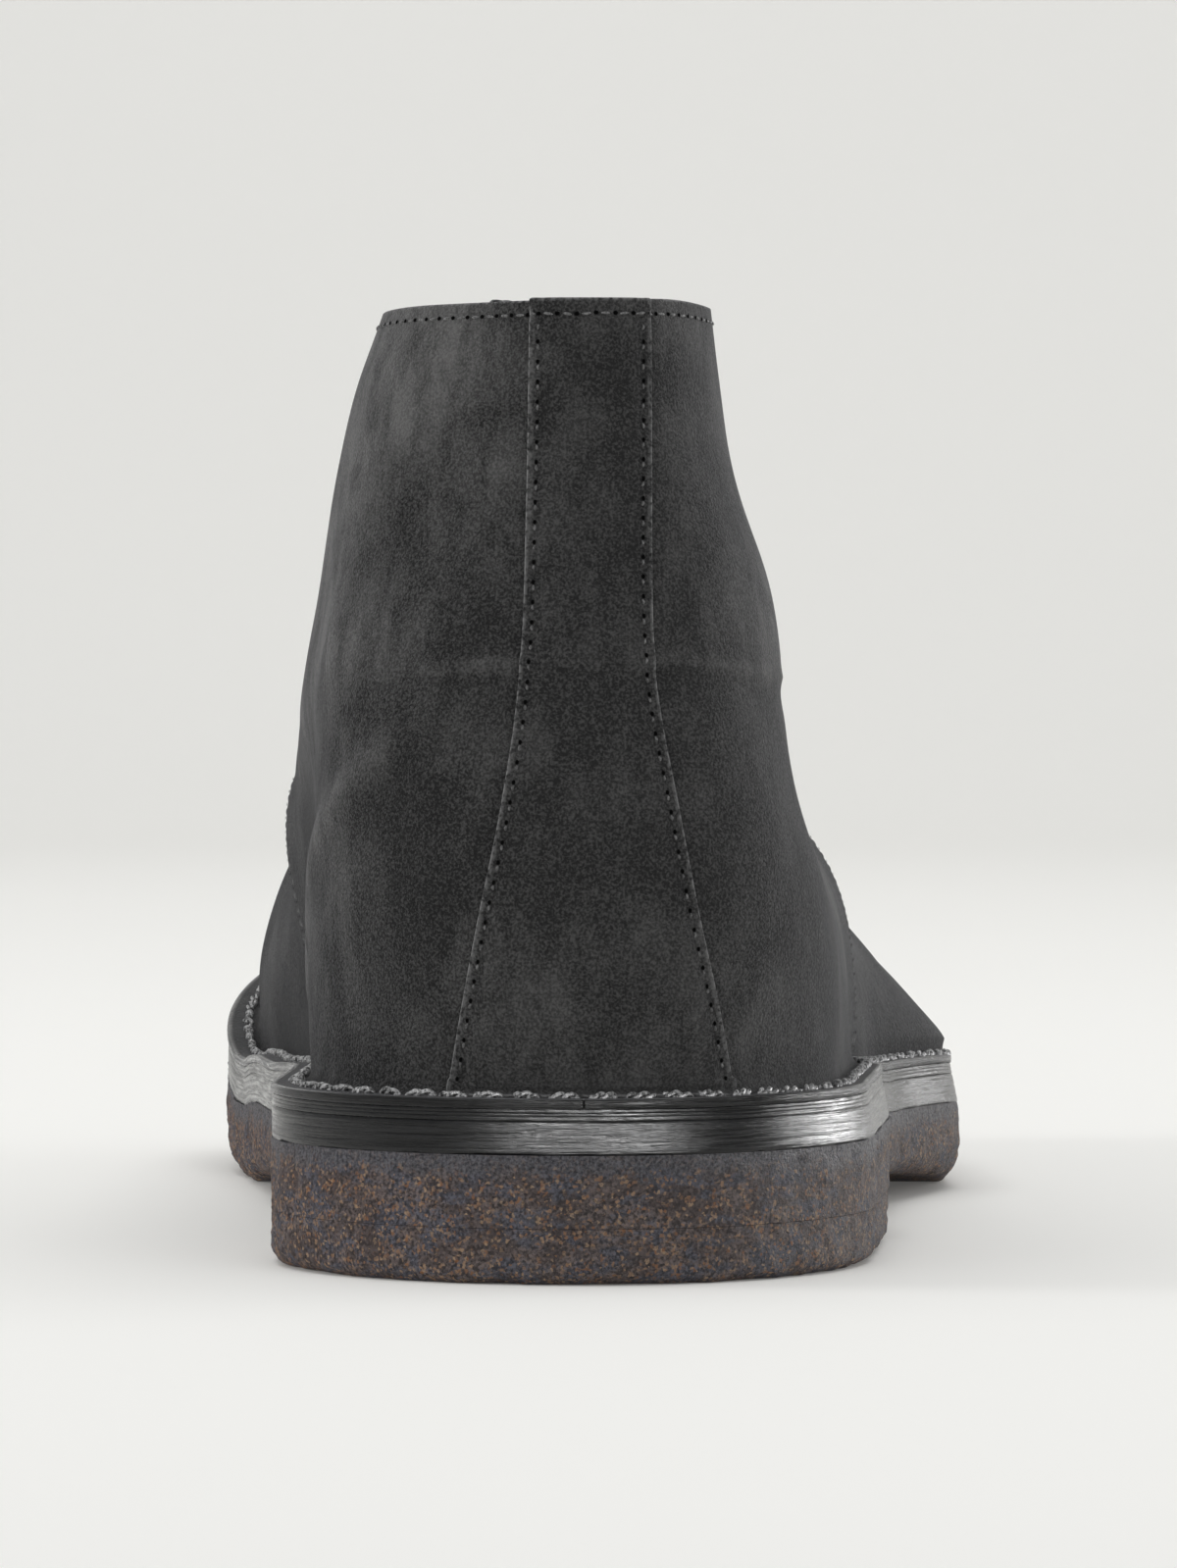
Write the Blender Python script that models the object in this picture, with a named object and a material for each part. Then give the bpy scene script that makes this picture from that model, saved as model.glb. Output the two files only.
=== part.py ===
"""Ankle-high suede boot for the right foot, stitched down on a crepe sole.

Lengths in the tables are millimetres: x runs to the outer (lateral) side, y from the back of the heel
to the toe, z up from the floor. The finished object stands in metres with its origin under the middle
of its box. The upper is one loft: level curves run round the foot from the sole's edge to the collar,
each from the heel's back line to the ridge over toe, vamp and instep.
"""
import bpy
import numpy as np

MM = 0.001

# driving sizes of the sole
LENGTH = 298.0
GAP = 0.3
HEEL_LIFT = 7.0
HEEL_BREAST = 78.0
CREPE_AT_HEEL = 8.9
CREPE_AT_BALL = 11.3
WAIST_DIP = 2.0
MIDSOLE = 3.9
INSOLE = 2.5
INSOLE_CLEARANCE = 1.1
TOE_SPRING = 19.0
SPRING_START = 212.0
SPRING_BEND = 1.10
EDGE_ROUND = 3.2
EDGE_CHAMFER = 0.3 * EDGE_ROUND

# driving sizes of the upper
WALL = 2.2
FLANGE = 2.7
FLANGE_WIDTH = 5.2
STRIP = 1.2
TONGUE = 2.2
THROAT_START = 0.67
THROAT_GAP_LOW = 7.0
THROAT_GAP_TOP = 13.0

# eyelets and lace
EYELET_LEVELS = (0.735, 0.83, 0.925)
EYELET_FROM_EDGE = 9.0
EYELET_RADIUS = 3.3
EYELET_BORE = 1.5
EYELET_BARREL = 2.1
EYELET_RIM = 0.7
EYELET_SEAT = 0.45
LACE_RADIUS = 1.3
BARREL_SHORT = 0.2
HOLE_REACH = 5.0

# fineness of the facets
COLUMNS = 35
UPPER_LEVELS = (0, .025, .06, .11, .17, .24, .31, .38, .45, .52, .58, .63, .67, .72, .78, .84, .90, .95, 1)
SOLE_STEPS = 72
HEEL_STEPS = 17
HEEL_CROWDING = 0.85
STRIP_COLUMNS = 9
TONGUE_COLUMNS = 13
TONGUE_ROWS = 15
LACE_SIDES = 8
ROUND_SIDES = 12

# how far along each level the half widths are given, from 0 at the back to 1 at the front
STATIONS = (0.05, 0.15, 0.30, 0.48, 0.64, 0.82, 0.95)

# height of the outsole's underside: along, height
TREAD = ((0, HEEL_LIFT + GAP), (HEEL_BREAST + 2, HEEL_LIFT + GAP), (110, 6.3), (135, 5.1), (155, 3.9),
         (175, 2.5), (190, 1.1), (199.9, 0), (300, 0))
CREPE = ((0, CREPE_AT_HEEL), (132, CREPE_AT_HEEL), (200, CREPE_AT_BALL), (300, CREPE_AT_BALL - 1))

# outline of the sole; round_back and round_front are the lengths of its rounded ends
EDGE = dict(
    back=0, front=LENGTH, round_back=43, round_front=82, centre_back=0, centre_front=-12,
    lateral=(36.2, 38.2, 42.6, 47.2, 59.6, 59.6, 57.5),
    medial=(41.2, 40.6, 38.8, 43.0, 46.2, 51.2, 55.5))

# the vamp's stand over the flange at the outer side: width, share of it at the foot, level,
# place along the sole and reach
BULGE = 4.6
BULGE_AT_FOOT = .62
BULGE_RISE = .028
BULGE_MIDDLE = 200
BULGE_REACH = 42

# levels of the upper, from the sole to the collar; sag is how far a level follows the sole's curve
LEVELS = (
    dict(rise=.10, back=3.4, back_z=34, front=293, front_z=43.5, sag=.75,
         round_back=42, round_front=80, centre_back=.5, centre_front=-12.5,
         lateral=(31.4, 33.2, 36.0, 40.6, 48.8, 50.8, 51.5), medial=(35.6, 36.6, 36.3, 37.0, 42.8, 45.0, 48.5)),
    dict(rise=.22, back=2.6, back_z=46, front=284, front_z=55.5, sag=.45,
         round_back=39, round_front=84, centre_back=.5, centre_front=-13.5,
         lateral=(31.6, 31.8, 33.2, 37.0, 35.4, 38.8, 42.5), medial=(35.0, 36.2, 36.6, 39.0, 38.8, 38.6, 40.5)),
    dict(rise=.36, back=3.4, back_z=60, front=252, front_z=62.5, sag=.15,
         round_back=34, round_front=88, centre_back=.5, centre_front=-13.5,
         lateral=(28.8, 27.6, 27.4, 28.6, 28.4, 29.5, 32.0), medial=(32.8, 36.0, 37.6, 38.8, 34.8, 31.5, 31.0)),
    dict(rise=.52, back=5.8, back_z=76, front=203, front_z=68.5, sag=0,
         round_back=32, round_front=80, centre_back=.5, centre_front=-12.5,
         lateral=(25.8, 25.3, 24.9, 24.8, 26.0, 28.0, 29.0), medial=(31.0, 35.5, 37.8, 36.8, 32.5, 27.5, 25.5)),
    dict(rise=.68, back=8.6, back_z=92, front=161, front_z=82.5, sag=0,
         round_back=30, round_front=60, centre_back=.5, centre_front=-11.5,
         lateral=(23.0, 23.0, 23.0, 23.0, 23.5, 24.5, 24.5), medial=(27.0, 32.0, 34.8, 33.8, 29.0, 22.5, 19.5)),
    dict(rise=.84, back=10.8, back_z=108, front=134, front_z=103, sag=0,
         round_back=28, round_front=48, centre_back=.5, centre_front=-10.5,
         lateral=(18.0, 18.5, 19.2, 19.7, 20.3, 21.5, 22.0), medial=(23.5, 28.5, 31.3, 30.3, 25.5, 18.5, 15.5)),
    dict(rise=1, back=12.2, back_z=124, front=118, front_z=127, sag=0,
         round_back=26, round_front=42, centre_back=.5, centre_front=-9.5,
         lateral=(15.5, 16.0, 16.5, 17.5, 18.5, 20.0, 20.0), medial=(19.0, 23.5, 25.6, 24.8, 21.5, 16.5, 13.5)))

# edges of the strip over the back seam: level, medial x, lateral x
BACK_STRIP = ((0.0, -16.8, 18.4), (.10, -15.0, 16.6), (.22, -12.8, 14.0), (.36, -10.0, 11.4),
              (.50, -8.0, 8.9), (.62, -7.2, 8.1), (1.0, -6.4, 7.8))
STRIP_LEVELS = (.012, .06, .12, .18, .25, .32, .40, .48, .56, .66, .76, .88, 1.006)

# tongue behind the throat: level, half width
TONGUE_SHAPE = ((.60, 13.0), (.70, 17.0), (.82, 19.5), (.94, 20.5), (1.0, 20.0), (1.02, 17.0))

FINISHES = {
    "crepe": dict(color=(0.045, 0.028, 0.020, 1), roughness=0.85, metallic=0),
    "black_edge": dict(color=(0.012, 0.012, 0.013, 1), roughness=0.3, metallic=0),
    "suede": dict(color=(0.035, 0.035, 0.037, 1), roughness=0.95, metallic=0),
    "lining": dict(color=(0.05, 0.048, 0.046, 1), roughness=0.6, metallic=0),
    "eyelet_metal": dict(color=(0.02, 0.02, 0.022, 1), roughness=0.4, metallic=1),
    "lace": dict(color=(0.02, 0.02, 0.021, 1), roughness=0.8, metallic=0)}


# ---------------------------------------------------------------- curves

def through(rows, at):
    """Smooth curve through (place, value) rows that doesn't overshoot them, level beyond the ends."""
    place, value = np.array(rows, float).T
    at = np.clip(np.asarray(at, float), place[0], place[-1])
    step = np.diff(place)
    slope = np.diff(value) / step
    same_way = slope[:-1] * slope[1:] > 0
    total = np.where(same_way, slope[:-1] + slope[1:], 1)
    middle = np.where(same_way, 2 * slope[:-1] * slope[1:] / total, 0)
    tangent = np.concatenate([slope[:1], middle, slope[-1:]])
    k = np.clip(np.searchsorted(place, at) - 1, 0, len(step) - 1)
    u = (at - place[k]) / step[k]
    ends = (1 + 2 * u) * (1 - u) ** 2 * value[k] + u * u * (3 - 2 * u) * value[k + 1]
    return ends + step[k] * u * (1 - u) * ((1 - u) * tangent[k] - u * tangent[k + 1])


def tread(y):
    """Height of the outsole's underside: lifted heel, waist, flat ball and toe spring."""
    forward = np.clip((y - SPRING_START) / (LENGTH - SPRING_START), 0, None)
    return through(TREAD, y) + TOE_SPRING * forward ** SPRING_BEND


def deck(y):
    """Height of the crepe's top."""
    return tread(y) + through(CREPE, y)


def seat(y):
    """Height of the midsole's top."""
    return deck(y) + GAP + MIDSOLE


def flange_top(y):
    return seat(y) + GAP + FLANGE


# ---------------------------------------------------------------- level curves and the upper's surface

def oval(row, theta):
    """Plan of one level at angles from the back (0) over the lateral side to the front (pi) and round."""
    s = (1 - np.cos(theta)) / 2
    long = row["front"] - row["back"]
    into_back = np.clip(1 - s * long / row["round_back"], 0, None)
    into_front = np.clip(1 - (1 - s) * long / row["round_front"], 0, None)
    rounding = np.sqrt(np.clip((1 - into_back ** 2) * (1 - into_front ** 2), 0, None))
    lateral = through(tuple(zip(STATIONS, row["lateral"])), s)
    medial = through(tuple(zip(STATIONS, row["medial"])), s)
    centre = row["centre_back"] + (row["centre_front"] - row["centre_back"]) * s ** 2
    half = np.where(np.sin(theta) >= 0, lateral, -medial)
    return centre + half * rounding, row["back"] + long * s


def bare_edge(theta):
    """Outline of the sole, drawn in a little at the outer side of the waist."""
    x, y = oval(EDGE, theta)
    return x - WAIST_DIP * np.exp(-((y - 112) / 16) ** 2) * (np.sin(theta) > 0), y


def sole_edge(theta, inward=0.0):
    """Outline of the sole, moved inward by a constant width."""
    nudge = 1e-4
    x, y = bare_edge(theta)
    (x0, y0), (x1, y1) = bare_edge(theta - nudge), bare_edge(theta + nudge)
    dx, dy = x1 - x0, y1 - y0
    size = np.hypot(dx, dy)
    return x - inward * dy / size, y + inward * dx / size


def level_points(theta):
    """The sole's feather line and every level of the upper at the angles, as (level, ..., xyz)."""
    x, y = sole_edge(theta, FLANGE_WIDTH)
    feather_z = flange_top(y)
    s = (1 - np.cos(theta)) / 2
    ends = flange_top(np.array((FLANGE_WIDTH, LENGTH - FLANGE_WIDTH)))
    dip = feather_z - (ends[0] + (ends[1] - ends[0]) * s)
    points = [np.stack((x, y, feather_z), -1)]
    for row in LEVELS:
        x, y = oval(row, theta)
        z = row["back_z"] + (row["front_z"] - row["back_z"]) * s + row["sag"] * dip
        points.append(np.stack((x, y, z), -1))
    return np.array(points)


RISES = np.array([0] + [row["rise"] for row in LEVELS])


def bending_matrix():
    """Second derivatives of a natural cubic through values at RISES, as a matrix on those values."""
    count = len(RISES)
    step = np.diff(RISES)
    left, right = np.eye(count), np.zeros((count, count))
    for i in range(1, count - 1):
        left[i, i - 1:i + 2] = step[i - 1], 2 * (step[i - 1] + step[i]), step[i]
        right[i, i - 1:i + 2] = 6 / step[i - 1], -6 / step[i - 1] - 6 / step[i], 6 / step[i]
    return np.linalg.solve(left, right)


BENDING = bending_matrix()


def vamp_bulge(y, theta, rise):
    """How far the vamp stands out over the flange beside the little toe."""
    height = np.clip(rise, 0, None) / BULGE_RISE
    along = np.exp(-((y - BULGE_MIDDLE) / BULGE_REACH) ** 2)
    profile = (BULGE_AT_FOOT + 2 * height) * np.exp(-height)
    return BULGE * along * profile * np.clip(np.sin(theta), 0, 1)


def skin(theta, rise):
    """Points of the upper's outer surface, in millimetres, at an angle and a rise from 0 to 1."""
    theta, rise = np.broadcast_arrays(np.asarray(theta, float), np.asarray(rise, float))
    points = level_points(theta)
    bend = np.tensordot(BENDING, points, 1)
    k = np.clip(np.searchsorted(RISES, rise, side="right") - 1, 0, len(RISES) - 2)
    step = (RISES[k + 1] - RISES[k])[..., None]
    after = (rise - RISES[k])[..., None]
    before = step - after

    def pick(values, index):
        return np.take_along_axis(values, index[None, ..., None], 0)[0]

    ends = (pick(points, k) * before + pick(points, k + 1) * after) / step
    low = pick(bend, k) * (before ** 3 / step - step * before)
    high = pick(bend, k + 1) * (after ** 3 / step - step * after)
    points = ends + (low + high) / 6
    points[..., 0] += vamp_bulge(points[..., 1], theta, rise)
    return points


def normal(theta, rise):
    """Outward unit normals of the upper's surface."""
    nudge = 1e-3
    along = skin(theta + nudge, rise) - skin(theta - nudge, rise)
    up = skin(theta, np.asarray(rise) + nudge) - skin(theta, np.asarray(rise) - nudge)
    cross = np.cross(along, up)
    return cross / np.linalg.norm(cross, axis=-1, keepdims=True)


def lifted(theta, rise, lift):
    """Points at a distance outside the upper's surface, or inside where lift is negative."""
    return skin(theta, rise) + lift * normal(theta, rise)


def angle_at(x, rise, front=False):
    """Angle near the back, or near the front, at which a level passes a given x."""
    middle = np.pi if front else 0.0
    angles = middle + np.linspace(-1.2, 1.2, 121)
    across = skin(angles, rise)[:, 0]
    order = np.argsort(across)
    return np.interp(x, across[order], angles[order])


def throat_half_angle(rise):
    """Half the throat's opening as an angle, constant below the throat's start."""
    share = np.clip((rise - THROAT_START) / (1 - THROAT_START), 0, 1)
    gap = THROAT_GAP_LOW + (THROAT_GAP_TOP - THROAT_GAP_LOW) * share
    return from_ridge(gap / 2, max(rise, THROAT_START))


def from_ridge(distance, rise):
    """Angle whose distance from the ridge, measured over the surface, is the given one."""
    angles = np.pi - np.linspace(0, 1.4, 200)
    points = skin(angles, rise)
    travelled = np.concatenate(([0], np.cumsum(np.linalg.norm(np.diff(points, axis=0), axis=1))))
    return np.interp(distance, travelled, np.pi - angles)


# ---------------------------------------------------------------- meshes

def origin():
    """The middle of the object's box, on the floor."""
    x, _ = sole_edge(np.linspace(0, 2 * np.pi, 721))
    return np.array(((x.min() + x.max()) / 2, LENGTH / 2, 0.0))


ORIGIN = origin()


def finish(name):
    material = bpy.data.materials.get(name) or bpy.data.materials.new(name)
    material.use_nodes = True
    shader = material.node_tree.nodes["Principled BSDF"]
    shader.inputs["Base Color"].default_value = FINISHES[name]["color"]
    shader.inputs["Roughness"].default_value = FINISHES[name]["roughness"]
    shader.inputs["Metallic"].default_value = FINISHES[name]["metallic"]
    return material


def solid(name, points, faces, material):
    """An object from points in millimetres and faces that point outward."""
    used = sorted({corner for face in faces for corner in face})
    place = {corner: i for i, corner in enumerate(used)}
    mesh = bpy.data.meshes.new(name)
    mesh.from_pydata(((points[used] - ORIGIN) * MM).tolist(), [], [[place[c] for c in face] for face in faces])
    mesh.materials.append(finish(material))
    mesh.shade_smooth()
    mesh.set_sharp_from_angle(angle=np.radians(40))
    piece = bpy.data.objects.new(name, mesh)
    bpy.context.scene.collection.objects.link(piece)
    return piece


def shell(name, outer, inner, material, closed=False, keep=None):
    """Closed sheet between two grids of (row, column) points; keep drops cells, which leaves holes."""
    rows, columns = outer.shape[:2]
    points = np.concatenate((outer.reshape(-1, 3), inner.reshape(-1, 3)))
    last = columns if closed else columns - 1
    cells = []
    for i in range(rows - 1):
        for j in range(last):
            if keep is None or keep(i, j):
                k = (j + 1) % columns
                cells.append((i * columns + j, i * columns + k, (i + 1) * columns + k, (i + 1) * columns + j))
    edges = {(cell[n], cell[(n + 1) % 4]) for cell in cells for n in range(4)}
    rim = sorted(edge for edge in edges if edge[::-1] not in edges)
    under = rows * columns
    faces = cells + [tuple(c + under for c in reversed(cell)) for cell in cells]
    faces += [(b, a, a + under, b + under) for a, b in rim]
    return solid(name, points, faces, material)


def slab(name, rings, material):
    """Closed solid from rings stacked upward, capped by strips from side to side."""
    count = rings.shape[1]
    points = rings.reshape(-1, 3)
    faces = []
    for level in range(len(rings) - 1):
        for j in range(count):
            k = (j + 1) % count
            a, b = level * count, (level + 1) * count
            faces.append((a + j, a + k, b + k, b + j))
    top = (len(rings) - 1) * count
    for j in range((count + 1) // 2):
        right, ahead, left, behind = j, j + 1, (count - j - 1) % count, (count - j) % count
        strip = [right, ahead, left, behind]
        strip = [c for n, c in enumerate(strip) if c != strip[n - 1]]
        if len(set(strip)) >= 3:
            faces.append(tuple(top + c for c in strip))
            faces.append(tuple(reversed(strip)))
    return solid(name, points, faces, material)


def tube(name, path, radius, material, sides=LACE_SIDES):
    """Round bar with flat ends along a path of points."""
    along = np.gradient(path, axis=0)
    along /= np.linalg.norm(along, axis=1, keepdims=True)
    side = np.cross(along, (0.0, 0.0, 1.0))
    side /= np.linalg.norm(side, axis=1, keepdims=True)
    up = np.cross(side, along)
    turn = np.arange(sides) * 2 * np.pi / sides
    ring = side[:, None] * np.cos(turn)[None, :, None] + up[:, None] * np.sin(turn)[None, :, None]
    points = (path[:, None] + radius * ring).reshape(-1, 3)
    faces = []
    for i in range(len(path) - 1):
        for j in range(sides):
            k = (j + 1) % sides
            a, b = i * sides, (i + 1) * sides
            faces.append((a + k, a + j, b + j, b + k))
    faces.append(tuple(range(sides)))
    faces.append(tuple(reversed(range(len(points) - sides, len(points)))))
    return solid(name, points, faces, material)


def turned(name, profile, centre, axis, material, sides=ROUND_SIDES):
    """Solid of revolution round an axis from a closed profile of (radius, height) points."""
    across = np.cross(axis, (0.0, 1.0, 0.0))
    across /= np.linalg.norm(across)
    ahead = np.cross(axis, across)
    points = []
    for n in range(sides):
        turn = 2 * np.pi * n / sides
        out = across * np.cos(turn) + ahead * np.sin(turn)
        points += [centre + radius * out + height * axis for radius, height in profile]
    count = len(profile)
    faces = []
    for n in range(sides):
        for j in range(count):
            k = (j + 1) % count
            a, b = n * count, (n + 1) % sides * count
            faces.append((a + j, b + j, b + k, a + k))
    return solid(name, np.array(points), faces, material)


def combine(piece, others, operation):
    """Joins the other pieces to this one, or cuts them out of it."""
    for other in others:
        other.hide_render = True
        other.display_type = "WIRE"
        modifier = piece.modifiers.new(operation.lower(), "BOOLEAN")
        modifier.operation = operation
        modifier.object = other


# ---------------------------------------------------------------- sole

def outline_ring(theta, height, inward=0.0):
    x, y = sole_edge(theta, inward)
    _, along = sole_edge(theta)
    return np.stack((x, y, height(along)), -1)


def make_outsole():
    """Full-length crepe with a rounded lower edge ahead of the heel."""
    theta = np.arange(SOLE_STEPS) * 2 * np.pi / SOLE_STEPS
    _, y = sole_edge(theta)
    share = through(((0, .15), (HEEL_BREAST, .15), (110, 1), (LENGTH, 1)), y)
    rings = [outline_ring(theta, tread, EDGE_ROUND * share),
             outline_ring(theta, lambda along: tread(along) + EDGE_CHAMFER * share, EDGE_CHAMFER * share),
             outline_ring(theta, lambda along: tread(along) + EDGE_ROUND * share, 0),
             outline_ring(theta, deck, 0)]
    slab("outsole", np.array(rings), "crepe")


def make_heel_lift():
    """Crepe lift under the heel with a straight breast."""
    half = np.linspace(0, 1, HEEL_STEPS) ** HEEL_CROWDING
    angles = np.linspace(0, np.pi, 400)
    breast = np.interp(HEEL_BREAST, sole_edge(angles)[1], angles)
    side = half * breast
    theta = np.concatenate((side, 2 * np.pi - side[:0:-1]))
    rings = []
    for inward, height in ((EDGE_ROUND, 0), (EDGE_CHAMFER, EDGE_CHAMFER), (0, EDGE_ROUND), (0, HEEL_LIFT)):
        x, y = sole_edge(theta, inward)
        y = np.minimum(y, HEEL_BREAST)
        rings.append(np.stack((x, y, np.full_like(x, height)), -1))
    slab("heel_lift", np.array(rings), "crepe")


def make_midsole():
    theta = np.arange(SOLE_STEPS) * 2 * np.pi / SOLE_STEPS
    rings = (outline_ring(theta, lambda y: deck(y) + GAP), outline_ring(theta, seat))
    slab("midsole", np.array(rings), "black_edge")


def make_insole():
    theta = np.arange(SOLE_STEPS) * 2 * np.pi / SOLE_STEPS
    inward = FLANGE_WIDTH + WALL + INSOLE_CLEARANCE
    rings = (outline_ring(theta, lambda y: seat(y) + GAP, inward),
             outline_ring(theta, lambda y: seat(y) + GAP + INSOLE, inward))
    slab("insole", np.array(rings), "lining")


# ---------------------------------------------------------------- upper

def column_angles(rise):
    """Angles of the columns at a rise: even round the boot, with one pair on the throat's edges."""
    half = throat_half_angle(rise)
    side = np.linspace(0, np.pi - half, COLUMNS + 1)
    return np.concatenate((side, [np.pi], 2 * np.pi - side[:0:-1]))


def make_upper():
    """Suede shell with its lower edge turned out on the midsole, open underneath and at the throat."""
    outer, inner = [], []
    theta = column_angles(0)
    outer.append(outline_ring(theta, flange_top))
    inner.append(outline_ring(theta, lambda y: seat(y) + GAP))
    for rise in UPPER_LEVELS:
        theta = column_angles(rise)
        outer.append(skin(theta, rise))
        if rise == 0:
            inner.append(outline_ring(theta, lambda y: seat(y) + GAP, FLANGE_WIDTH + WALL))
        else:
            inner.append(lifted(theta, rise, -WALL))
    first_open = 1 + UPPER_LEVELS.index(THROAT_START)

    def keep(row, column):
        return row < first_open or column not in (COLUMNS, COLUMNS + 1)

    upper = shell("upper", np.array(outer), np.array(inner), "suede", closed=True, keep=keep)
    holes = []
    for name, (centre, axis) in eyelet_places().items():
        path = centre + np.outer((-HOLE_REACH, 0, HOLE_REACH), axis)
        holes.append(tube(f"hole_for_{name}", path, EYELET_BARREL + GAP, "suede", ROUND_SIDES))
    combine(upper, holes, "DIFFERENCE")


def make_back_strip():
    """Strip over the back seam, cut between two larger forms of the upper."""
    place, medial, lateral = np.array(BACK_STRIP).T
    outer, inner = [], []
    for rise in STRIP_LEVELS:
        sides = [through(tuple(zip(place, edge)), rise) for edge in (medial, lateral)]
        theta = np.linspace(angle_at(sides[0], rise), angle_at(sides[1], rise), STRIP_COLUMNS)
        outer.append(lifted(theta, rise, GAP + STRIP))
        inner.append(lifted(theta, rise, GAP))
    shell("back_strip", np.array(outer), np.array(inner), "suede")


def make_tongue():
    """Tongue under the facings, from inside the vamp to just above the collar."""
    outer, inner = [], []
    for rise in np.linspace(TONGUE_SHAPE[0][0], TONGUE_SHAPE[-1][0], TONGUE_ROWS):
        spread = from_ridge(through(TONGUE_SHAPE, rise), min(rise, 1.0))
        theta = np.linspace(np.pi - spread, np.pi + spread, TONGUE_COLUMNS)
        outer.append(lifted(theta, rise, -WALL - GAP))
        inner.append(lifted(theta, rise, -WALL - GAP - TONGUE))
    shell("tongue", np.array(outer), np.array(inner), "suede")


# ---------------------------------------------------------------- eyelets and lace

def eyelet_angle(side, rise):
    """Angle of an eyelet on the lateral (1) or medial (-1) facing."""
    share = (rise - THROAT_START) / (1 - THROAT_START)
    edge = (THROAT_GAP_LOW + (THROAT_GAP_TOP - THROAT_GAP_LOW) * share) / 2
    return np.pi - side * from_ridge(edge + EYELET_FROM_EDGE, rise)


def eyelet_places():
    """Centre and axis of each eyelet, by name."""
    places = {}
    for side, word in ((1, "lateral"), (-1, "medial")):
        for n, rise in enumerate(EYELET_LEVELS, 1):
            theta = eyelet_angle(side, rise)
            places[f"eyelet_{word}_{n}"] = skin(theta, rise), normal(theta, rise)
    return places


def make_eyelets():
    """Black metal rings, their barrels through the facing."""
    top = EYELET_SEAT + EYELET_RIM
    profile = ((EYELET_BORE, BARREL_SHORT - WALL), (EYELET_BARREL, BARREL_SHORT - WALL), (EYELET_BARREL, EYELET_SEAT),
               (EYELET_RADIUS, EYELET_SEAT), (EYELET_RADIUS - .5, top), (EYELET_BORE, top))
    for name, (centre, axis) in eyelet_places().items():
        turned(name, profile, centre, axis, "eyelet_metal")


def lace_run(name, start, end):
    """One run of lace over the throat, between (side, eyelet level) ends."""
    steps = np.linspace(0, 1, 9)
    angles = [eyelet_angle(*where) for where in (start, end)]
    theta = angles[0] + (angles[1] - angles[0]) * steps
    rise = start[1] + (end[1] - start[1]) * steps
    lift = EYELET_SEAT + EYELET_RIM + GAP + LACE_RADIUS
    return tube(name, lifted(theta, rise, lift), LACE_RADIUS, "lace")


def make_lace():
    """A bar over the lowest pair and a cross over each space, joined; its ends stop at the top pair."""
    low = EYELET_LEVELS[0]
    lace = lace_run("lace", (1, low), (-1, low))
    crosses = []
    for n, (a, b) in enumerate(zip(EYELET_LEVELS, EYELET_LEVELS[1:])):
        crosses.append(lace_run(f"run_up_{n}", (1, a), (-1, b)))
        crosses.append(lace_run(f"run_back_{n}", (-1, a), (1, b)))
    combine(lace, crosses, "UNION")


def main():
    for old in list(bpy.data.objects):
        bpy.data.objects.remove(old)
    make_outsole()
    make_heel_lift()
    make_midsole()
    make_insole()
    make_upper()
    make_back_strip()
    make_tongue()
    make_eyelets()
    make_lace()


main()
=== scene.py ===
"""Looks of an ankle-high suede boot for the right foot, stitched down on a crepe sole.

Lengths are millimetres until a piece is made: x runs to the outer (lateral) side, y from the back of
the heel to the toe, z up from the floor. A place on the upper is an angle round the foot, from the back
seam (0) over the lateral side to the toe's ridge (pi), and a rise from the feather line (0) to the collar
(1). Below the feather line the rise runs on to -1 at the outer edge of the flange.
"""

import bpy
import numpy as np
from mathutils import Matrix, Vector


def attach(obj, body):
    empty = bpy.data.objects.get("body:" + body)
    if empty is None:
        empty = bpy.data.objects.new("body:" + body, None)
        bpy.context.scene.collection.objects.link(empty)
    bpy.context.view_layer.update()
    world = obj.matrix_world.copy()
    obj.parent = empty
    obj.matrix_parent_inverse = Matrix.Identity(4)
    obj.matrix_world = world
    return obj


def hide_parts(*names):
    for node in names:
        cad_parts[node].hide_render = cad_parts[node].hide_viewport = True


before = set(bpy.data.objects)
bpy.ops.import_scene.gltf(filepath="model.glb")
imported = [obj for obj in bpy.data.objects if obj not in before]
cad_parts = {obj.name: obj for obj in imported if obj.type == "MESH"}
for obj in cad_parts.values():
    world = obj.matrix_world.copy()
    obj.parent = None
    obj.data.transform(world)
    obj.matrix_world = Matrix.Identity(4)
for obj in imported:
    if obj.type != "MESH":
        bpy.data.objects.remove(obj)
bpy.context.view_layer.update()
MM = 0.001

# driving sizes of the sole, as in the part's source
LENGTH = 298.0
GAP = 0.3
HEEL_LIFT = 7.0
HEEL_BREAST = 78.0
CREPE_AT_HEEL = 8.9
CREPE_AT_BALL = 11.3
WAIST_DIP = 2.0
MIDSOLE = 3.9
INSOLE = 2.5
TOE_SPRING = 19.0
SPRING_START = 212.0
SPRING_BEND = 1.10

# driving sizes of the upper
FLANGE = 2.7
FLANGE_WIDTH = 5.2
THROAT_START = 0.67
THROAT_GAP_LOW = 7.0
THROAT_GAP_TOP = 13.0
EYELET_LEVELS = (0.735, 0.83, 0.925)
EYELET_FROM_EDGE = 9.0

# how far along each level the half widths are given, from 0 at the back to 1 at the front
STATIONS = (0.05, 0.15, 0.30, 0.48, 0.64, 0.82, 0.95)

# height of the outsole's underside: along, height
TREAD = ((0, HEEL_LIFT + GAP), (HEEL_BREAST + 2, HEEL_LIFT + GAP), (110, 6.3), (135, 5.1), (155, 3.9),
         (175, 2.5), (190, 1.1), (199.9, 0), (300, 0))
CREPE = ((0, CREPE_AT_HEEL), (132, CREPE_AT_HEEL), (200, CREPE_AT_BALL), (300, CREPE_AT_BALL - 1))

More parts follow.
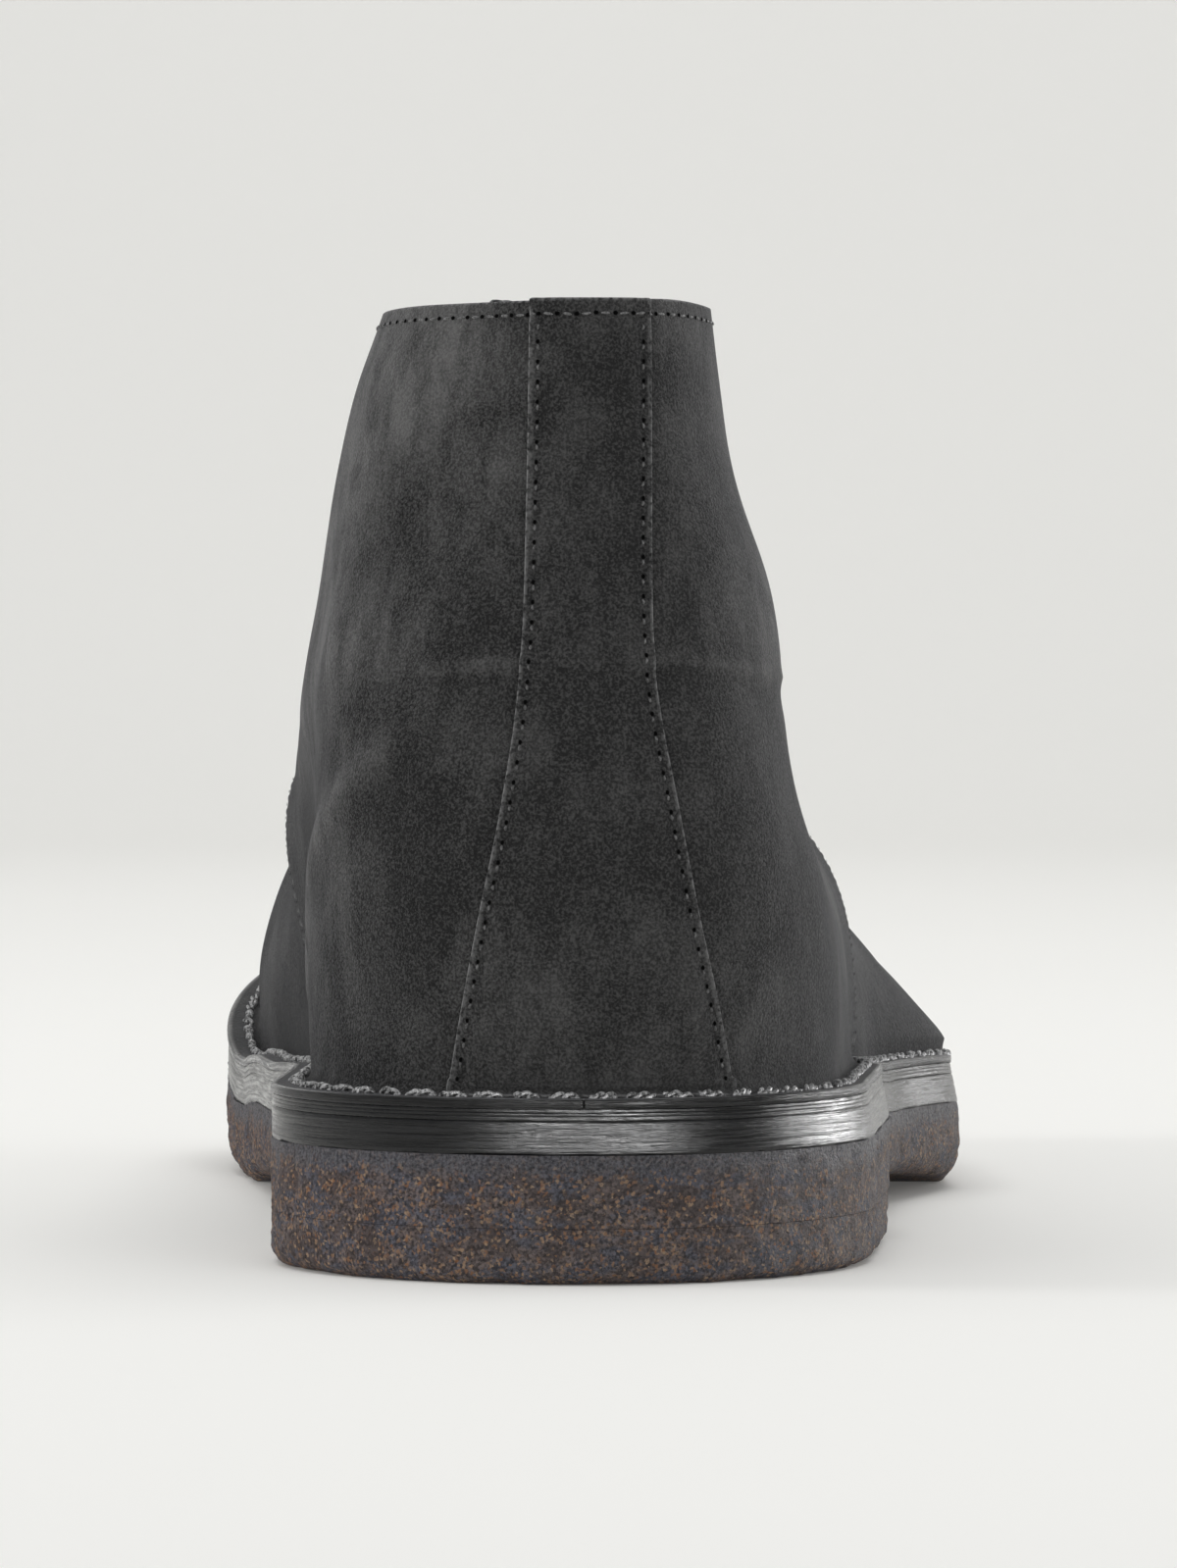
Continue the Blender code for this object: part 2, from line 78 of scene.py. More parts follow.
# outline of the sole; round_back and round_front are the lengths of its rounded ends
EDGE = dict(
    back=0, front=LENGTH, round_back=43, round_front=82, centre_back=0, centre_front=-12,
    lateral=(36.2, 38.2, 42.6, 47.2, 59.6, 59.6, 57.5),
    medial=(41.2, 40.6, 38.8, 43.0, 46.2, 51.2, 55.5))

# the vamp's stand over the flange at the outer side: width, share of it at the foot, level,
# place along the sole and reach
BULGE = 4.6
BULGE_AT_FOOT = .62
BULGE_RISE = .028
BULGE_MIDDLE = 200
BULGE_REACH = 42

# levels of the upper, from the sole to the collar; sag is how far a level follows the sole's curve
LEVELS = (
    dict(rise=.10, back=3.4, back_z=34, front=293, front_z=43.5, sag=.75,
         round_back=42, round_front=80, centre_back=.5, centre_front=-12.5,
         lateral=(31.4, 33.2, 36.0, 40.6, 48.8, 50.8, 51.5),
         medial=(35.6, 36.6, 36.3, 37.0, 42.8, 45.0, 48.5)),
    dict(rise=.22, back=2.6, back_z=46, front=284, front_z=55.5, sag=.45,
         round_back=39, round_front=84, centre_back=.5, centre_front=-13.5,
         lateral=(31.6, 31.8, 33.2, 37.0, 35.4, 38.8, 42.5),
         medial=(35.0, 36.2, 36.6, 39.0, 38.8, 38.6, 40.5)),
    dict(rise=.36, back=3.4, back_z=60, front=252, front_z=62.5, sag=.15,
         round_back=34, round_front=88, centre_back=.5, centre_front=-13.5,
         lateral=(28.8, 27.6, 27.4, 28.6, 28.4, 29.5, 32.0),
         medial=(32.8, 36.0, 37.6, 38.8, 34.8, 31.5, 31.0)),
    dict(rise=.52, back=5.8, back_z=76, front=203, front_z=68.5, sag=0,
         round_back=32, round_front=80, centre_back=.5, centre_front=-12.5,
         lateral=(25.8, 25.3, 24.9, 24.8, 26.0, 28.0, 29.0),
         medial=(31.0, 35.5, 37.8, 36.8, 32.5, 27.5, 25.5)),
    dict(rise=.68, back=8.6, back_z=92, front=161, front_z=82.5, sag=0,
         round_back=30, round_front=60, centre_back=.5, centre_front=-11.5,
         lateral=(23.0, 23.0, 23.0, 23.0, 23.5, 24.5, 24.5),
         medial=(27.0, 32.0, 34.8, 33.8, 29.0, 22.5, 19.5)),
    dict(rise=.84, back=10.8, back_z=108, front=134, front_z=103, sag=0,
         round_back=28, round_front=48, centre_back=.5, centre_front=-10.5,
         lateral=(18.0, 18.5, 19.2, 19.7, 20.3, 21.5, 22.0),
         medial=(23.5, 28.5, 31.3, 30.3, 25.5, 18.5, 15.5)),
    dict(rise=1, back=12.2, back_z=124, front=118, front_z=127, sag=0,
         round_back=26, round_front=42, centre_back=.5, centre_front=-9.5,
         lateral=(15.5, 16.0, 16.5, 17.5, 18.5, 20.0, 20.0),
         medial=(19.0, 23.5, 25.6, 24.8, 21.5, 16.5, 13.5)))

# edges of the strip over the back seam: level, medial x, lateral x
BACK_STRIP = ((0.0, -16.8, 18.4), (.10, -15.0, 16.6), (.22, -12.8, 14.0), (.36, -10.0, 11.4),
              (.50, -8.0, 8.9), (.62, -7.2, 8.1), (1.0, -6.4, 7.8))

# tongue behind the throat: level, half width
TONGUE_SHAPE = ((.60, 13.0), (.70, 17.0), (.82, 19.5), (.94, 20.5), (1.0, 20.0), (1.02, 17.0))

# sizes that only the looks need: the crepe's worn lower edges, how finely outlines are stepped, the
# holes, the lace, where the stitches of collar and flange run, and which corners stay sharp
HEEL_ROUNDING = 2.6
SOLE_ROUNDING = 3.2
CREPE_POINTS = 1100
EDGE_POINTS = 560
EYELET_HOLE = 2.2
LACE_WIDTH = 2.7
LACE_THICK = 1.15
COLLAR_ROW = .9835
SOLE_ROW = -.36
SHARP_DEGREES = 50
SIDE_WORD = {1: "lateral", -1: "medial"}

# how the leathers lie
WALL_LEATHER = 1.9
FLANGE_LEATHER = 1.2
STRIP_LEATHER = 1.1
VAMP_LEATHER = 1.7
TONGUE_LEATHER = 1.8
FOOT = 0.022
FILLET_START = -0.3
FLANGE_FLAT = 3.4
EDGE_SOFTNESS = 0.32
EDGE_SLANT = 1.5
QUARTER_PROUD = 0.9
QUARTER_BLEND = 16.0
VAMP_LAP = 10.0
VAMP_SINK = 8.0
VAMP_TOP = 0.70

# front edge of the quarters over the vamp: rise, distance from the heel's back
QUARTER_EDGE = ((0, 119), (.10, 124), (.22, 130), (.36, 137), (.52, 148), (.62, 158), (.72, 164))

# soft troughs (-) and ridges (+) of the quarters: side, ((degrees round, rise), ...), half width, lift,
# and how much lighter (+) or darker (-) the nap is painted there: painted highlight on ridges, painted shade
# in troughs
FOLDS = (
    (1, ((-24, .535), (-8, .543), (19, .545), (38, .533), (52, .535)), .9, .26, .50),
    (1, ((0, .520), (19, .520), (34, .508), (52, .510)), 2.6, -.35, -.10),
    (-1, ((28, .43), (32, .395), (37, .345), (43, .28), (50, .20), (54, .12), (54, .03)), 2.8, .80, .62),
    (-1, ((46, .47), (56, .41), (66, .31), (71, .18), (71, .04)), 12, -1.15, -.30),
    (-1, ((22, .30), (26, .18), (26, .06)), 7, -.25, -.15),
    (1, ((36, .06), (38, .20), (34, .40)), 10, -.3, -.05),
    (1, ((80, .10), (84, .28), (86, .45)), 10, -.4, -.10),
    (1, ((45, .60), (60, .66), (76, .70)), 9, .5, .20),
    (1, ((40, .76), (62, .80), (84, .82)), 8, -.55, -.20),
    (-1, ((40, .93), (60, .90), (84, .90)), 7, .3, .20),
    (-1, ((38, .70), (60, .64), (88, .62)), 9, -.35, -.15),
    (-1, ((44, .60), (54, .52), (66, .46)), 5, .25, .30),
    (1, ((30, .22), (32, .36), (30, .46)), 8, -.3, -.10))

# creases where the vamp bends, right across it: distance from the heel's back, half width, lift
VAMP_FOLDS = ((182, 7, -.55), (194, 6, .4), (206, 7, -.5), (219, 8, .3))

# places of the nap that are lighter, partly raised nap from brushing and partly painted highlights, or (below
# 0) darker, painted shade as in the hollow of the medial waist: side, degrees round, rise, reach, strength
BRUSHED_NAP_AND_PAINTED_LIGHT = (
    (-1, 52, .955, 9, .9), (-1, 36, .96, 6, .5), (-1, 66, .90, 10, .6), (-1, 74, .74, 14, .5),
    (-1, 70, .56, 10, .5), (-1, 76, .44, 8, .5), (-1, 48, .60, 8, .3),
    (1, 62, .70, 10, .8), (1, 50, .60, 8, .6), (1, 64, .93, 8, .45), (1, 74, .20, 8, .5),
    (1, 84, .34, 9, .5), (1, 12, .14, 9, .25), (-1, 34, .16, 10, .25), (-1, 86, .12, 20, -.6),
    (-1, 44, .80, 14, .35), (-1, 52, .62, 16, .35), (-1, 58, .45, 12, .3))


# ---------------------------------------------------------------- curves and the last's surface

def through(rows, at):
    """Smooth curve through (place, value) rows that doesn't overshoot them, level beyond the ends."""
    place, value = np.array(rows, float).T
    at = np.clip(np.asarray(at, float), place[0], place[-1])
    step = np.diff(place)
    slope = np.diff(value) / step
    same_way = slope[:-1] * slope[1:] > 0
    total = np.where(same_way, slope[:-1] + slope[1:], 1)
    middle = np.where(same_way, 2 * slope[:-1] * slope[1:] / total, 0)
    tangent = np.concatenate([slope[:1], middle, slope[-1:]])
    k = np.clip(np.searchsorted(place, at) - 1, 0, len(step) - 1)
    u = (at - place[k]) / step[k]
    ends = (1 + 2 * u) * (1 - u) ** 2 * value[k] + u * u * (3 - 2 * u) * value[k + 1]
    return ends + step[k] * u * (1 - u) * ((1 - u) * tangent[k] - u * tangent[k + 1])


def eased(value, start, end):
    """0 at start and 1 at end, with soft ends."""
    share = np.clip((np.asarray(value, float) - start) / (end - start), 0, 1)
    return share * share * (3 - 2 * share)


def unit(vectors):
    return vectors / np.maximum(np.linalg.norm(vectors, axis=-1, keepdims=True), 1e-9)


def travelled(points):
    """Distance along a path of points from its start."""
    return np.concatenate(([0], np.cumsum(np.linalg.norm(np.diff(points, axis=0), axis=1))))


def tread(y):
    """Height of the outsole's underside: lifted heel, waist, flat ball and toe spring."""
    forward = np.clip((y - SPRING_START) / (LENGTH - SPRING_START), 0, None)
    return through(TREAD, y) + TOE_SPRING * forward ** SPRING_BEND


def deck(y):
    """Height of the crepe's top."""
    return tread(y) + through(CREPE, y)


def seat(y):
    """Height of the midsole's top."""
    return deck(y) + GAP + MIDSOLE


def flange_top(y):
    return seat(y) + GAP + FLANGE


def oval(row, theta):
    """Plan of one level at angles from the back (0) over the lateral side to the front (pi) and round."""
    s = (1 - np.cos(theta)) / 2
    long = row["front"] - row["back"]
    into_back = np.clip(1 - s * long / row["round_back"], 0, None)
    into_front = np.clip(1 - (1 - s) * long / row["round_front"], 0, None)
    rounding = np.sqrt(np.clip((1 - into_back ** 2) * (1 - into_front ** 2), 0, None))
    lateral = through(tuple(zip(STATIONS, row["lateral"])), s)
    medial = through(tuple(zip(STATIONS, row["medial"])), s)
    centre = row["centre_back"] + (row["centre_front"] - row["centre_back"]) * s ** 2
    half = np.where(np.sin(theta) >= 0, lateral, -medial)
    return centre + half * rounding, row["back"] + long * s


def bare_edge(theta):
    """Outline of the sole, drawn in a little at the outer side of the waist."""
    x, y = oval(EDGE, theta)
    return x - WAIST_DIP * np.exp(-((y - 112) / 16) ** 2) * (np.sin(theta) > 0), y


def sole_outward(theta):
    """Outward direction of the sole's outline, as (x, y)."""
    nudge = 1e-4
    (x0, y0), (x1, y1) = bare_edge(theta - nudge), bare_edge(theta + nudge)
    return unit(np.stack((y1 - y0, x0 - x1), -1))


def flat_outward(theta):
    """Outward direction of the sole's outline, level, as (x, y, 0)."""
    return np.concatenate((sole_outward(theta), np.zeros((len(theta), 1))), -1)


def sole_edge(theta, inward=0.0):
    """Outline of the sole, moved inward by a width."""
    x, y = bare_edge(theta)
    out = sole_outward(theta)
    return x - inward * out[..., 0], y - inward * out[..., 1]


def level_points(theta):
    """The sole's feather line and every level of the upper at the angles, as (level, ..., xyz)."""
    x, y = sole_edge(theta, FLANGE_WIDTH)
    feather_z = flange_top(y)
    s = (1 - np.cos(theta)) / 2
    ends = flange_top(np.array((FLANGE_WIDTH, LENGTH - FLANGE_WIDTH)))
    dip = feather_z - (ends[0] + (ends[1] - ends[0]) * s)
    points = [np.stack((x, y, feather_z), -1)]
    for row in LEVELS:
        x, y = oval(row, theta)
        z = row["back_z"] + (row["front_z"] - row["back_z"]) * s + row["sag"] * dip
        points.append(np.stack((x, y, z), -1))
    return np.array(points)


RISES = np.array([0] + [row["rise"] for row in LEVELS])


def bending_matrix():
    """Second derivatives of a natural cubic through values at RISES, as a matrix on those values."""
    count = len(RISES)
    step = np.diff(RISES)
    left, right = np.eye(count), np.zeros((count, count))
    for i in range(1, count - 1):
        left[i, i - 1:i + 2] = step[i - 1], 2 * (step[i - 1] + step[i]), step[i]
        right[i, i - 1:i + 2] = 6 / step[i - 1], -6 / step[i - 1] - 6 / step[i], 6 / step[i]
    return np.linalg.solve(left, right)


BENDING = bending_matrix()


def vamp_bulge(y, theta, rise):
    """How far the vamp stands out over the flange beside the little toe."""
    height = np.clip(rise, 0, None) / BULGE_RISE
    along = np.exp(-((y - BULGE_MIDDLE) / BULGE_REACH) ** 2)
    profile = (BULGE_AT_FOOT + 2 * height) * np.exp(-height)
    return BULGE * along * profile * np.clip(np.sin(theta), 0, 1)


def skin(theta, rise):
    """Points of the last's outer surface at an angle and a rise from 0 to 1."""
    theta, rise = np.broadcast_arrays(np.asarray(theta, float), np.asarray(rise, float))
    points = level_points(theta)
    bend = np.tensordot(BENDING, points, 1)
    k = np.clip(np.searchsorted(RISES, rise, side="right") - 1, 0, len(RISES) - 2)
    step = (RISES[k + 1] - RISES[k])[..., None]
    after = (rise - RISES[k])[..., None]
    before = step - after

    def pick(values, index):
        return np.take_along_axis(values, index[None, ..., None], 0)[0]

    ends = (pick(points, k) * before + pick(points, k + 1) * after) / step
    low = pick(bend, k) * (before ** 3 / step - step * before)
    high = pick(bend, k + 1) * (after ** 3 / step - step * after)
    points = ends + (low + high) / 6
    points[..., 0] += vamp_bulge(points[..., 1], theta, rise)
    return points


def outline(theta, height, inward=0.0):
    """Ring of points along the sole's outline at a height that follows the outline's own y."""
    x, y = sole_edge(theta, inward)
    _, along = sole_edge(theta)
    return np.stack(np.broadcast_arrays(x, y, height(along)), -1)


def flange_left_bare(theta):
    """Share of the flange's width that the vamp doesn't stand on."""
    _, along = sole_edge(theta)
    return 1 - vamp_bulge(along, theta, 0) / FLANGE_WIDTH


def surface(theta, rise):
    """The leather's bare outer surface: wall, fillet at the foot and flange."""
    theta, rise = np.broadcast_arrays(np.asarray(theta, float), np.asarray(rise, float))
    share = np.clip((rise + 1) / (FILLET_START + 1), 0, 1)
    inward = FLANGE_FLAT * flange_left_bare(theta) * share + .85 * edge_slant(theta) * (1 - share)
    flat = outline(theta, flange_top, inward)
    t = np.clip((rise - FILLET_START) / (FOOT - FILLET_START), 0, 1)[..., None]
    fillet = (1 - t) ** 2 * flat + 2 * t * (1 - t) * skin(theta, 0) + t * t * skin(theta, FOOT)
    wall = skin(theta, np.clip(rise, FOOT, None))
    on_foot = (rise < FOOT)[..., None]
    return np.where(on_foot, fillet, wall)


def surface_normal(theta, rise):
    """Outward unit normals of the surface."""
    nudge = 1e-3
    along = surface(theta + nudge, rise) - surface(theta - nudge, rise)
    up = surface(theta, np.asarray(rise) + nudge) - surface(theta, np.asarray(rise) - nudge)
    return unit(np.cross(along, up))


def angle_at(x, rise):
    """Angle near the back at which a level passes a given x."""
    angles = np.linspace(-1.2, 1.2, 121)
    across = skin(angles, rise)[:, 0]
    order = np.argsort(across)
    return np.interp(x, across[order], angles[order])


def angle_along(y, rise):
    """Lateral angle at which a level passes a given distance from the heel's back."""
    angles = np.linspace(0, np.pi, 240)
    return np.interp(y, skin(angles, rise)[:, 1], angles)


def from_ridge(distance, rise):
    """Angle at a distance from the ridge over the toe and instep, measured over the surface."""
    angles = np.pi - np.linspace(0, 1.4, 200)
    points = skin(angles, min(rise, 1.0))
    return np.interp(distance, travelled(points), np.pi - angles)


def throat_half_gap(rise):
    share = np.clip((rise - THROAT_START) / (1 - THROAT_START), 0, 1)
    return (THROAT_GAP_LOW + (THROAT_GAP_TOP - THROAT_GAP_LOW) * share) / 2


def one_edge_angle(rise):
    level = max(rise, 0.0)
    by_y = angle_along(through(QUARTER_EDGE, level), level)
    by_throat = np.pi - from_ridge(throat_half_gap(level), max(level, .6))
    turn = eased(level, .60, THROAT_START + .03)
    return by_y + (by_throat - by_y) * turn


EDGE_RISES = np.concatenate(([-1.0], np.linspace(0, 1, 61)))
EDGE_ANGLES = np.array([one_edge_angle(rise) for rise in EDGE_RISES])


def edge_angle(rise):
    """Angle of the quarters' front edge, on the lateral side."""
    return np.interp(rise, EDGE_RISES, EDGE_ANGLES)


# ---------------------------------------------------------------- folds, laps and brushed places

def lumps(points, size, seed):
    """Smooth values from -1 to 1 with a given lump size, the same on every run."""
    cell = points / size + seed * 17.31
    base = np.floor(cell).astype(np.int64)
    part = cell - base
    part = part * part * (3 - 2 * part)
    total = 0
    for corner in np.ndindex(2, 2, 2):
        mixed = ((base + corner) * (73856093, 19349663, 83492791)).sum(-1)
        mixed = (mixed ^ (mixed >> 13)) * 1274126177
        value = ((mixed ^ (mixed >> 16)) & 0xffff) / 32767.5 - 1
        total = total + np.prod(np.where(corner, part, 1 - part), axis=-1) * value
    return total


def from_line(points, line):
    """Distance of each point from a line through the given points."""
    nearest = np.full(points.shape[:-1], 1e9)
    for a, b in zip(line, line[1:]):
        run = b - a
        share = np.clip(((points - a) @ run) / (run @ run), 0, 1)
        nearest = np.minimum(nearest, np.linalg.norm(points - a - share[..., None] * run, axis=-1))
    return nearest


def fold_lines():
    """Each fold of the quarters as points on the surface, its half width, its lift and its painted highlight
    (+) or shade (-).
    """
    lines = []
    for side, places, half_width, lift, tone in FOLDS:
        degrees, rise = np.array(places, float).T
        share = np.linspace(0, 1, 13)
        own = np.linspace(0, 1, len(places))
        theta = side * np.radians(through(tuple(zip(own, degrees)), share))
        lines.append((skin(theta, through(tuple(zip(own, rise)), share)), half_width, lift, tone))
    return lines


FOLD_LINES = fold_lines()
BRUSHED_NAP_AND_PAINTED_LIGHT_SPOTS = [(skin(side * np.radians(degrees), rise), reach, strength)
                 for side, degrees, rise, reach, strength in BRUSHED_NAP_AND_PAINTED_LIGHT]


def collar_cut(theta, rise):
    """The quarters' upper edge is cut a little lower than the last's, more so laterally."""
    near, fall = np.where(theta > 0, .0003, .0025), .0070 * eased(abs(theta), .40, 1.1)
    drop = near + fall + .0006 * np.sin(9 * theta)
    return rise - drop * eased(rise, .90, 1)


def quarter_lift(theta, rise, points):
    """How far the quarters stand over the bare surface: folds, and the rise over the vamp."""
    lift = 0
    for line, half_width, height, _ in FOLD_LINES:
        lift = lift + height * np.exp(-(from_line(points, line) / half_width) ** 2)
    lift = lift + .10 * lumps(points, 17, 1) + .05 * lumps(points, 7, 2)
    lift = lift * eased(rise, .02, .12)
    behind = np.linalg.norm(surface(np.sign(theta) * edge_angle(rise), rise) - points, axis=-1)
    proud = QUARTER_PROUD * (1 - eased(behind, 2, QUARTER_BLEND)) * eased(rise, FILLET_START, .06)
    return lift + proud * (1 - .6 * eased(rise, .60, .72))


def on_quarter(theta, rise, more=0):
    """Points on the outside of the quarters, and the directions they face."""
    bare = surface(theta, rise)
    facing = surface_normal(theta, rise)
    lift = quarter_lift(np.asarray(theta), np.asarray(rise), bare) + more
    return bare + lift[..., None] * facing, facing


def vamp_lift(rise, points, ahead):
    """How the vamp dips under the quarters, with the creases where it bends."""
    under = quarter_over_vamp(-ahead) - WALL_LEATHER - .05
    dip = np.where(ahead < 0, under, under * (1 - eased(ahead, 0, VAMP_SINK)))
    lift = .10 * lumps(points, 19, 3) + .04 * lumps(points, 8, 4)
    centre = points[..., 2] - flange_top(points[..., 1])
    for y, half_width, height in VAMP_FOLDS:
        bent = y + 3 * np.sin(points[..., 0] / 17 + y)
        lift = lift + height * np.exp(-((points[..., 1] - bent) / half_width) ** 2) * eased(centre, 6, 30)
    return dip * eased(rise, FILLET_START, .06) + lift * eased(rise, .02, .12)


def quarter_over_vamp(behind):
    return QUARTER_PROUD * (1 - eased(behind, 2, QUARTER_BLEND))


def brushed_nap_and_painted_light(points):
    """0 for a dark, laid nap to 1 for a raised, light one; folds and spots add painted highlights and shade.
    """
    amount = .16 + .30 * lumps(points, 15, 5) + .22 * lumps(points, 6, 6)
    # the folds' tone paints a highlight on each ridge and shade in each trough
    for line, half_width, _, tone in FOLD_LINES:
        amount = amount + tone * np.exp(-(from_line(points, line) / half_width) ** 2)
    # listed spots: partly raised nap, partly painted highlights, and painted shade where below 0
    for centre, reach, strength in BRUSHED_NAP_AND_PAINTED_LIGHT_SPOTS:
        away = np.linalg.norm((points - centre) * (1, .55, .8), axis=-1)
        amount = amount + strength * np.exp(-(away / reach) ** 2)
    return np.clip(amount, 0, 1)


def dressed(rise):
    """1 on the blackened edge of the flange, less on its top, 0 on the suede above."""
    return 1 - eased(rise, -.985, -.93) * (.58 + .42 * eased(rise, -.46, -.34))


# ---------------------------------------------------------------- meshes

def origin():
    """The middle of the object's box, on the floor."""
    x, _ = sole_edge(np.linspace(0, 2 * np.pi, 721))
    return np.array(((x.min() + x.max()) / 2, LENGTH / 2, 0.0))


ORIGIN = origin()


def piece(name, points, faces, material, slot, stands_for, values=None):
    """A piece of the boot from points in millimetres; values are numbers kept with each point."""
    mesh = bpy.data.meshes.new(name)
    mesh.from_pydata(((points - ORIGIN) * MM).tolist(), [], faces)
    for label, amounts in (values or {}).items():
        numbers = np.ravel(amounts).astype(np.float32)
        mesh.attributes.new(label, "FLOAT", "POINT").data.foreach_set("value", numbers)
    place = points.copy()
    place[:, 2] -= deck(np.clip(points[:, 1], 0, LENGTH))
    flat = (place * MM).astype(np.float32).ravel()
    mesh.attributes.new("place", "FLOAT_VECTOR", "POINT").data.foreach_set("vector", flat)
    mesh.materials.append(material)
    mesh.shade_smooth()
    mesh.set_sharp_from_angle(angle=np.radians(SHARP_DEGREES))
    made = bpy.data.objects.new(name, mesh)
    bpy.context.scene.collection.objects.link(made)
    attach(made, "root")
    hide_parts(*stands_for)
    return made


def grid_normals(points):
    """Normals of a (row, column) grid whose rows rise and columns run on round the foot."""
    return unit(np.cross(np.gradient(points, axis=1), np.gradient(points, axis=0)))


def grid_faces(rows, columns, dropped=()):
    """Quads of a grid, without those that touch a dropped (row, column) point."""
    faces = []
    for i in range(rows - 1):
        for j in range(columns - 1):
            corners = ((i, j), (i, j + 1), (i + 1, j + 1), (i + 1, j))
            if not any(corner in dropped for corner in corners):
                faces.append(tuple(a * columns + b for a, b in corners))
    return faces


# rounded rim of a cut leather: share of the thickness, share of the edge's softness
RIM = ((.04, .45), (.16, .85), (.5, 1.0), (.84, .85), (.96, .45))


def leather(points, normals, thickness, faces, values, softness):
    """Outer faces, the same faces inward by the thickness, and soft rims wherever the outer faces end."""
    points, normals = points.reshape(-1, 3), normals.reshape(-1, 3)
    count = len(points)
    thickness = np.broadcast_to(thickness, (count,)) if np.ndim(thickness) == 0 else np.ravel(thickness)
    softness = np.broadcast_to(softness, (count,)) if np.ndim(softness) == 0 else np.ravel(softness)
    edges = {(face[n - 1], face[n]) for face in faces for n in range(len(face))}
    after = {a: b for a, b in edges if (b, a) not in edges}
    before = {b: a for a, b in after.items()}
    rim = np.array(list(after))
    turn = {corner: n for n, corner in enumerate(rim.tolist())}
    forward = unit(points[[after[v] for v in rim]] - points[[before[v] for v in rim]])
    outward = unit(np.cross(forward, normals[rim]))
    layers = [points, points - normals * thickness[:, None]]
    for inward, reach in RIM:
        layers.append(points[rim] - normals[rim] * (inward * thickness[rim])[:, None]
                      + outward * (reach * softness[rim])[:, None])
    starts = np.cumsum([0] + [len(layer) for layer in layers])
    solid_faces = list(faces) + [tuple(corner + count for corner in reversed(face)) for face in faces]
    rings = [lambda v: v] + [lambda v, s=start: s + turn[v] for start in starts[2:-1]] + [lambda v: v + count]
    for upper, lower in zip(rings, rings[1:]):
        solid_faces += [(upper(b), upper(a), lower(a), lower(b)) for a, b in after.items()]
    kept = {}
    for label, amounts in values.items():
        amounts = np.ravel(amounts)
        kept[label] = np.concatenate([amounts, amounts] + [amounts[rim]] * len(RIM))
    cut = np.zeros(starts[-1])
    cut[rim] = .5
    cut[starts[2]:] = 1
    kept["edge"] = np.maximum(cut, kept.get("edge", 0))
    kept["inside"] = np.concatenate([np.zeros(count), np.ones(count), np.zeros(starts[-1] - 2 * count)])
    return compact(np.concatenate(layers), solid_faces, kept)


def leather_piece(name, stands_for, points, normals, thickness, faces, values, softness,
                  material, slot="suede"):
    points, faces, values = leather(points, normals, thickness, faces, values, softness)
    piece(name, points, faces, material, slot, [stands_for], values)


def compact(points, faces, values):
    """Leaves out the points that no face uses."""
    used = np.unique(np.concatenate([np.array(face) for face in faces]))
    place = np.full(len(points), -1)
    place[used] = np.arange(len(used))
    return points[used], [tuple(place[list(face)].tolist()) for face in faces], {
        label: np.broadcast_to(amounts, (len(points),))[used] for label, amounts in values.items()}


def spread(count, near=()):
    """Even shares from 0 to 1, with a few extra ones close to the ends."""
    extra = list(near) + [1 - share for share in near]
    return np.unique(np.concatenate((np.linspace(0, 1, count), extra)))


# ---------------------------------------------------------------- sole

def flat_cap(count, start, downward):
    """Strips from side to side that close a ring of points."""
    faces = []
    for j in range((count + 1) // 2):
        strip = [j, j + 1, (count - j - 1) % count, (count - j) % count]
        strip = [corner for n, corner in enumerate(strip) if corner != strip[n - 1]]
        if len(set(strip)) >= 3:
            strip = reversed(strip) if downward else strip
            faces.append(tuple(start + corner for corner in strip))
    return faces


def ring_quads(rings, sides, start=0, flipped=False, joined=False):
    """Quads between rings of points that follow one another; joined, the last ring meets the first."""
    faces = []
    for ring in range(rings if joined else rings - 1):
        a, b = start + ring * sides, start + (ring + 1) % rings * sides
        for j in range(sides):
            k = (j + 1) % sides
            faces.append((a + k, a + j, b + j, b + k) if flipped else (a + j, a + k, b + k, b + j))
    return faces


def stacked(rings):
    """Closed solid from rings stacked upward."""
    count = rings.shape[1]
    faces = ring_quads(len(rings), count)
    faces += flat_cap(count, 0, True) + flat_cap(count, (len(rings) - 1) * count, False)
    return rings.reshape(-1, 3), faces


def even_angles(count):
    """Angles that step evenly along the sole's outline."""
    angles = np.linspace(0, 2 * np.pi, 2001)
    x, y = sole_edge(angles)
    travelled = np.concatenate(([0], np.cumsum(np.hypot(np.diff(x), np.diff(y)))))
    return np.interp(np.arange(count) * travelled[-1] / count, travelled, angles)


# side profile of a crepe layer: share of its height, inward shares of the bottom and top rounding
CREPE_SIDE = ((0, 1), (.02, .72), (.06, .46), (.11, .26), (.17, .12), (.24, .03))


def rough(points, out, amount):
    """Crepe ground on its side: torn lumps and fine grain, outward of the outline."""
    grain = .40 * lumps(points, 4.2, 7) + .40 * lumps(points, 1.9, 8) + .25 * lumps(points, .9, 9)
    return points + out * (amount * grain)[..., None]


def crepe_side(theta, low, high, rounding, breast=None):
    """Rings of a crepe layer's side between two heights, with a worn lower edge."""
    levels = list(CREPE_SIDE) + [(share, 0) for share in np.linspace(.30, 1, 16)]
    smooth = np.clip(rounding / HEEL_ROUNDING, 0, 1)
    rings = []
    out = flat_outward(theta)
    for share, inward in levels:
        ring = outline(theta, lambda y: low(y) + share * (high(y) - low(y)))
        torn = 1 + .45 * lumps(ring * (1, 1, .3), 5, 14) + .3 * lumps(ring * (1, 1, .3), 2, 15)
        ring = ring - out * (inward * rounding * torn)[..., None]
        ring = rough(ring, out, .58 * (1 - smooth * (1 - eased(share, 0, .10))))
        if breast is not None:
            ring[:, 1] = np.minimum(ring[:, 1], breast)
        rings.append(ring)
    return np.array(rings)


